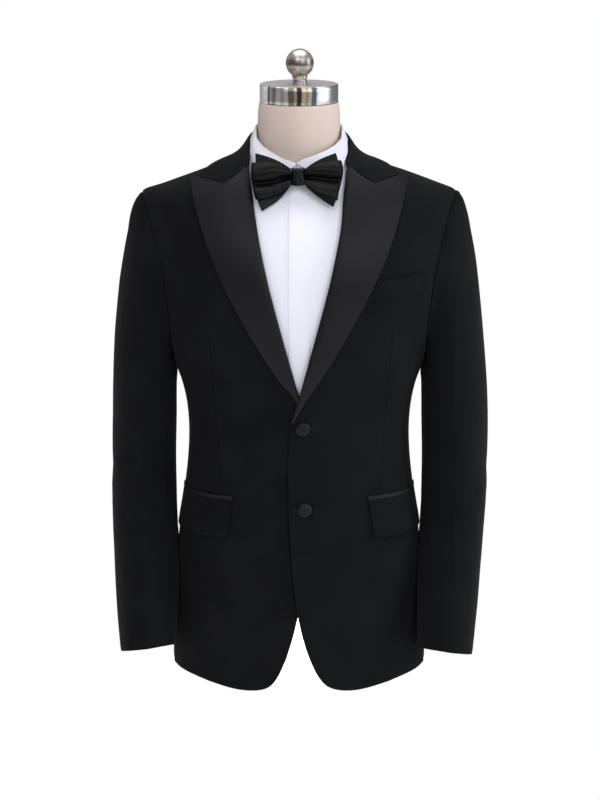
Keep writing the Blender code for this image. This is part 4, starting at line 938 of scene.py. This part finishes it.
# the collar pieces wear a darker copy of the cotton: painted shade
collar_cotton_painted_shade = cloth("white_poplin_painted_shade", [COLLAR_PAINTED_SHADE * c for c in COTTON], **POPLIN)
for name, (width, length, area, held, under) in SHIRT_CUT.items():
    piece = panel(name, collar_cotton_painted_shade if "collar" in name else cotton, 2)
    co = points(piece)
    x, y, z = co.T
    if name in COLLAR_CLOSE:     # the buttoned ends meet at the throat
        meet = COLLAR_CLOSE[name] * np.clip(1.1 - np.abs(x) / 0.022, 0, 1)
        x -= np.sign(x) * np.where(y < 0, meet, 0)
        co = roll_down(co, COLLAR_TALL[name])
        x -= np.where(y < -0.02, THROAT_ASIDE * bell(x, 0.020), 0)
    if name == "shirt_collar_leaf":      # it springs out over the stand at the sides
        beside = ease(np.abs(x), 0.048, 0.014) * ease(y, 0.060, -0.02)
        beside *= ease(z, 0.778, 0.010) * ease(z, 0.816, -0.012)
        x += LEAF_SPRING * np.sign(x) * beside
    if name == "shirt_placket":  # its edges are stitched down flat
        y += PLACKET_OUT + PLACKET_FLAT * ease(np.abs(x), PLACKET_HALF, 0.0012)
    set_points(piece, co)
    lay_round(piece)

BAND_TALL = 0.200        # the band follows the roll whole
piece = panel("bow_band", bow_satin_painted_shade, 1, sharp=60)
set_points(piece, roll_down(points(piece), BAND_TALL))
lay_round(piece)

# ---------------------------------------------------------------- dress form
# A limbless torso covered in natural linen, capped at the neck by a polished metal
# disc with a ball finial, on a low lacquered foot.
LINEN = (0.61, 0.495, 0.43)
linen = cloth("natural_linen", LINEN, spread=0.05, rough=0.88, specular=0.2, rib=0.0009,
              relief=0.00012, patch=0.04)
lay_round(panel("form_torso", linen, 2, sharp=60))

# painted reflections round the cap, light and dark bands painted into the metal's colour: degrees
# from the front, colour
CAP_PAINTED_REFLECTIONS = ((-53, (0.90, 0.88, 0.87)), (-51, (0.12, 0.11, 0.10)),
         (-49, (0.12, 0.11, 0.10)), (-47, (0.58, 0.57, 0.55)), (-44, (0.58, 0.57, 0.55)),
         (-42, (0.31, 0.29, 0.22)), (-37, (0.31, 0.29, 0.22)), (-35, (0.68, 0.65, 0.61)),
         (-29, (0.68, 0.65, 0.61)), (-27, (0.45, 0.39, 0.39)), (-23, (0.45, 0.39, 0.39)),
         (-21, (0.58, 0.57, 0.56)), (-17, (0.56, 0.54, 0.52)), (-15, (0.15, 0.14, 0.12)),
         (-8, (0.15, 0.14, 0.12)), (-6.5, (0.40, 0.34, 0.28)), (-4, (0.40, 0.34, 0.28)),
         (-2.5, (0.04, 0.04, 0.04)), (3, (0.04, 0.04, 0.04)), (4.5, (0.48, 0.38, 0.25)),
         (8.5, (0.48, 0.38, 0.25)), (10, (0.27, 0.26, 0.16)), (13.5, (0.27, 0.26, 0.16)),
         (15, (0.48, 0.43, 0.35)), (18, (0.48, 0.43, 0.35)), (19.5, (0.11, 0.13, 0.16)),
         (25.5, (0.11, 0.13, 0.16)), (27.5, (0.75, 0.75, 0.75)), (44.5, (0.70, 0.65, 0.66)),
         (46, (0.60, 0.60, 0.60)), (51, (0.60, 0.60, 0.60)), (53, (0.36, 0.36, 0.36)))
# and the painted reflections down the ball and its stem: height, colour
BALL_PAINTED_REFLECTIONS = ((0.884, (0.46, 0.43, 0.40)), (0.888, (0.22, 0.20, 0.18)),
              (0.892, (0.52, 0.48, 0.44)), (0.897, (0.22, 0.19, 0.15)),
              (0.903, (0.27, 0.23, 0.18)), (0.911, (0.50, 0.44, 0.39)),
              (0.9135, (0.16, 0.14, 0.12)), (0.919, (0.22, 0.19, 0.17)),
              (0.922, (0.46, 0.43, 0.41)), (0.931, (0.60, 0.58, 0.55)),
              (0.937, (0.38, 0.36, 0.34)))
CAP_FLAT, CAP_TOP = 0.0555, (0.82, 0.79, 0.80, 1)        # radius and colour of its flat top
# the turned stem of the finial: height, radius
STEM = ((0.8840, 0.0108), (0.8868, 0.0108), (0.8876, 0.0099), (0.8925, 0.0099),
        (0.8932, 0.0108), (0.8950, 0.0108), (0.8960, 0.0114))
BALL_ASIDE, BALL_SINK = 0.0012, 0.0018


def polished(name, stops, lo, hi, ripple, swing, cap=False):
    """Polished metal with the room's reflections painted into its colour as bands, round a cap or
    up a ball.

    ripple and swing: how close the bands' waves are, and how far they wander.
    """
    m, t, face = new_material(name)
    face.inputs["Metallic"].default_value = 1.0
    where = node(t, "TexCoord")
    xyz = node(t, "SeparateXYZ", [(0, where.outputs["Object"])])
    if cap:
        back = calc(t, "ABSOLUTE", xyz.outputs[1])
        turn = calc(t, "ARCTAN2", xyz.outputs[0], back)
        value = calc(t, "MULTIPLY", turn, 180 / math.pi)
    else:
        value = xyz.outputs[2]
    wave = node(t, "TexNoise", [(0, where.outputs["Object"])], [("Scale", ripple)])
    off = calc(t, "MULTIPLY", calc(t, "SUBTRACT", wave.outputs["Fac"], 0.5), swing)
    span = node(t, "MapRange", [("Value", calc(t, "ADD", value, off))],
                [("From Min", lo), ("From Max", hi)])
    ramp = node(t, "ValToRGB", [(0, span.outputs["Result"])])
    for k, (at, colour) in enumerate(stops):
        stop = ramp.color_ramp.elements[k] if k < 2 else ramp.color_ramp.elements.new(1.0)
        stop.position = (at - lo) / (hi - lo)
        stop.color = (*colour, 1)
    shown = ramp.outputs["Color"]
    if cap:                      # the flat top is plain
        across = calc(t, "ADD", calc(t, "POWER", xyz.outputs[0], 2.0), calc(t, "POWER", back, 2.0))
        plain = calc(t, "LESS_THAN", across, CAP_FLAT ** 2)
        shown = node(t, "Mix", [(0, plain), (6, shown)], [(7, CAP_TOP)],
                     data_type="RGBA").outputs[2]
    scuff = node(t, "MapRange", [("Value", wave.outputs["Fac"])],
                 [("To Min", 0.30), ("To Max", 0.42)])
    # the painted reflections become the metal's colour
    t.links.new(shown, face.inputs["Base Color"])
    t.links.new(scuff.outputs["Result"], face.inputs["Roughness"])
    return m


cap_painted_chrome = polished("polished_cap_painted_reflections", CAP_PAINTED_REFLECTIONS, -90, 90, ripple=60.0, swing=4.0, cap=True)
panel("neck_cap", cap_painted_chrome, 2, sharp=40)
ball_painted_chrome = polished("polished_ball_painted_reflections", BALL_PAINTED_REFLECTIONS, BALL_PAINTED_REFLECTIONS[0][0], BALL_PAINTED_REFLECTIONS[-1][0],
                       ripple=90.0, swing=0.006)
piece = panel("finial", ball_painted_chrome, 2, sharp=40)
co = points(piece)           # the stem is turned slim between two rings
x, y, z = co.T
slim = np.interp(z, *zip(*STEM)) / np.maximum(np.hypot(x, y), 1e-6)
thinner = np.where(z < STEM[-1][0], np.minimum(1, slim), 1)
x *= thinner
y *= thinner
x += BALL_ASIDE
z -= BALL_SINK * ease(z, 0.888, 0.006)
set_points(piece, co)

# the foot's lacquer has gone faintly cloudy: socket, deep value, light value
CLOUDING = (("Base Color", (0.84, 0.84, 0.83, 1), (0.88, 0.88, 0.87, 1)),
            ("Roughness", (0.32, 0.32, 0.32, 1), (0.40, 0.40, 0.40, 1)))
lacquer, t, face = new_material("white_lacquer")
cloudy = node(t, "TexNoise", [(0, node(t, "TexCoord").outputs["Object"])], [("Scale", 14.0)])
for socket, deep, light in CLOUDING:
    shade = node(t, "Mix", [(0, cloudy.outputs["Fac"])], [(6, deep), (7, light)],
                 data_type="RGBA")
    t.links.new(shade.outputs[2], face.inputs[socket])
panel("form_foot", lacquer, 1, sharp=40)
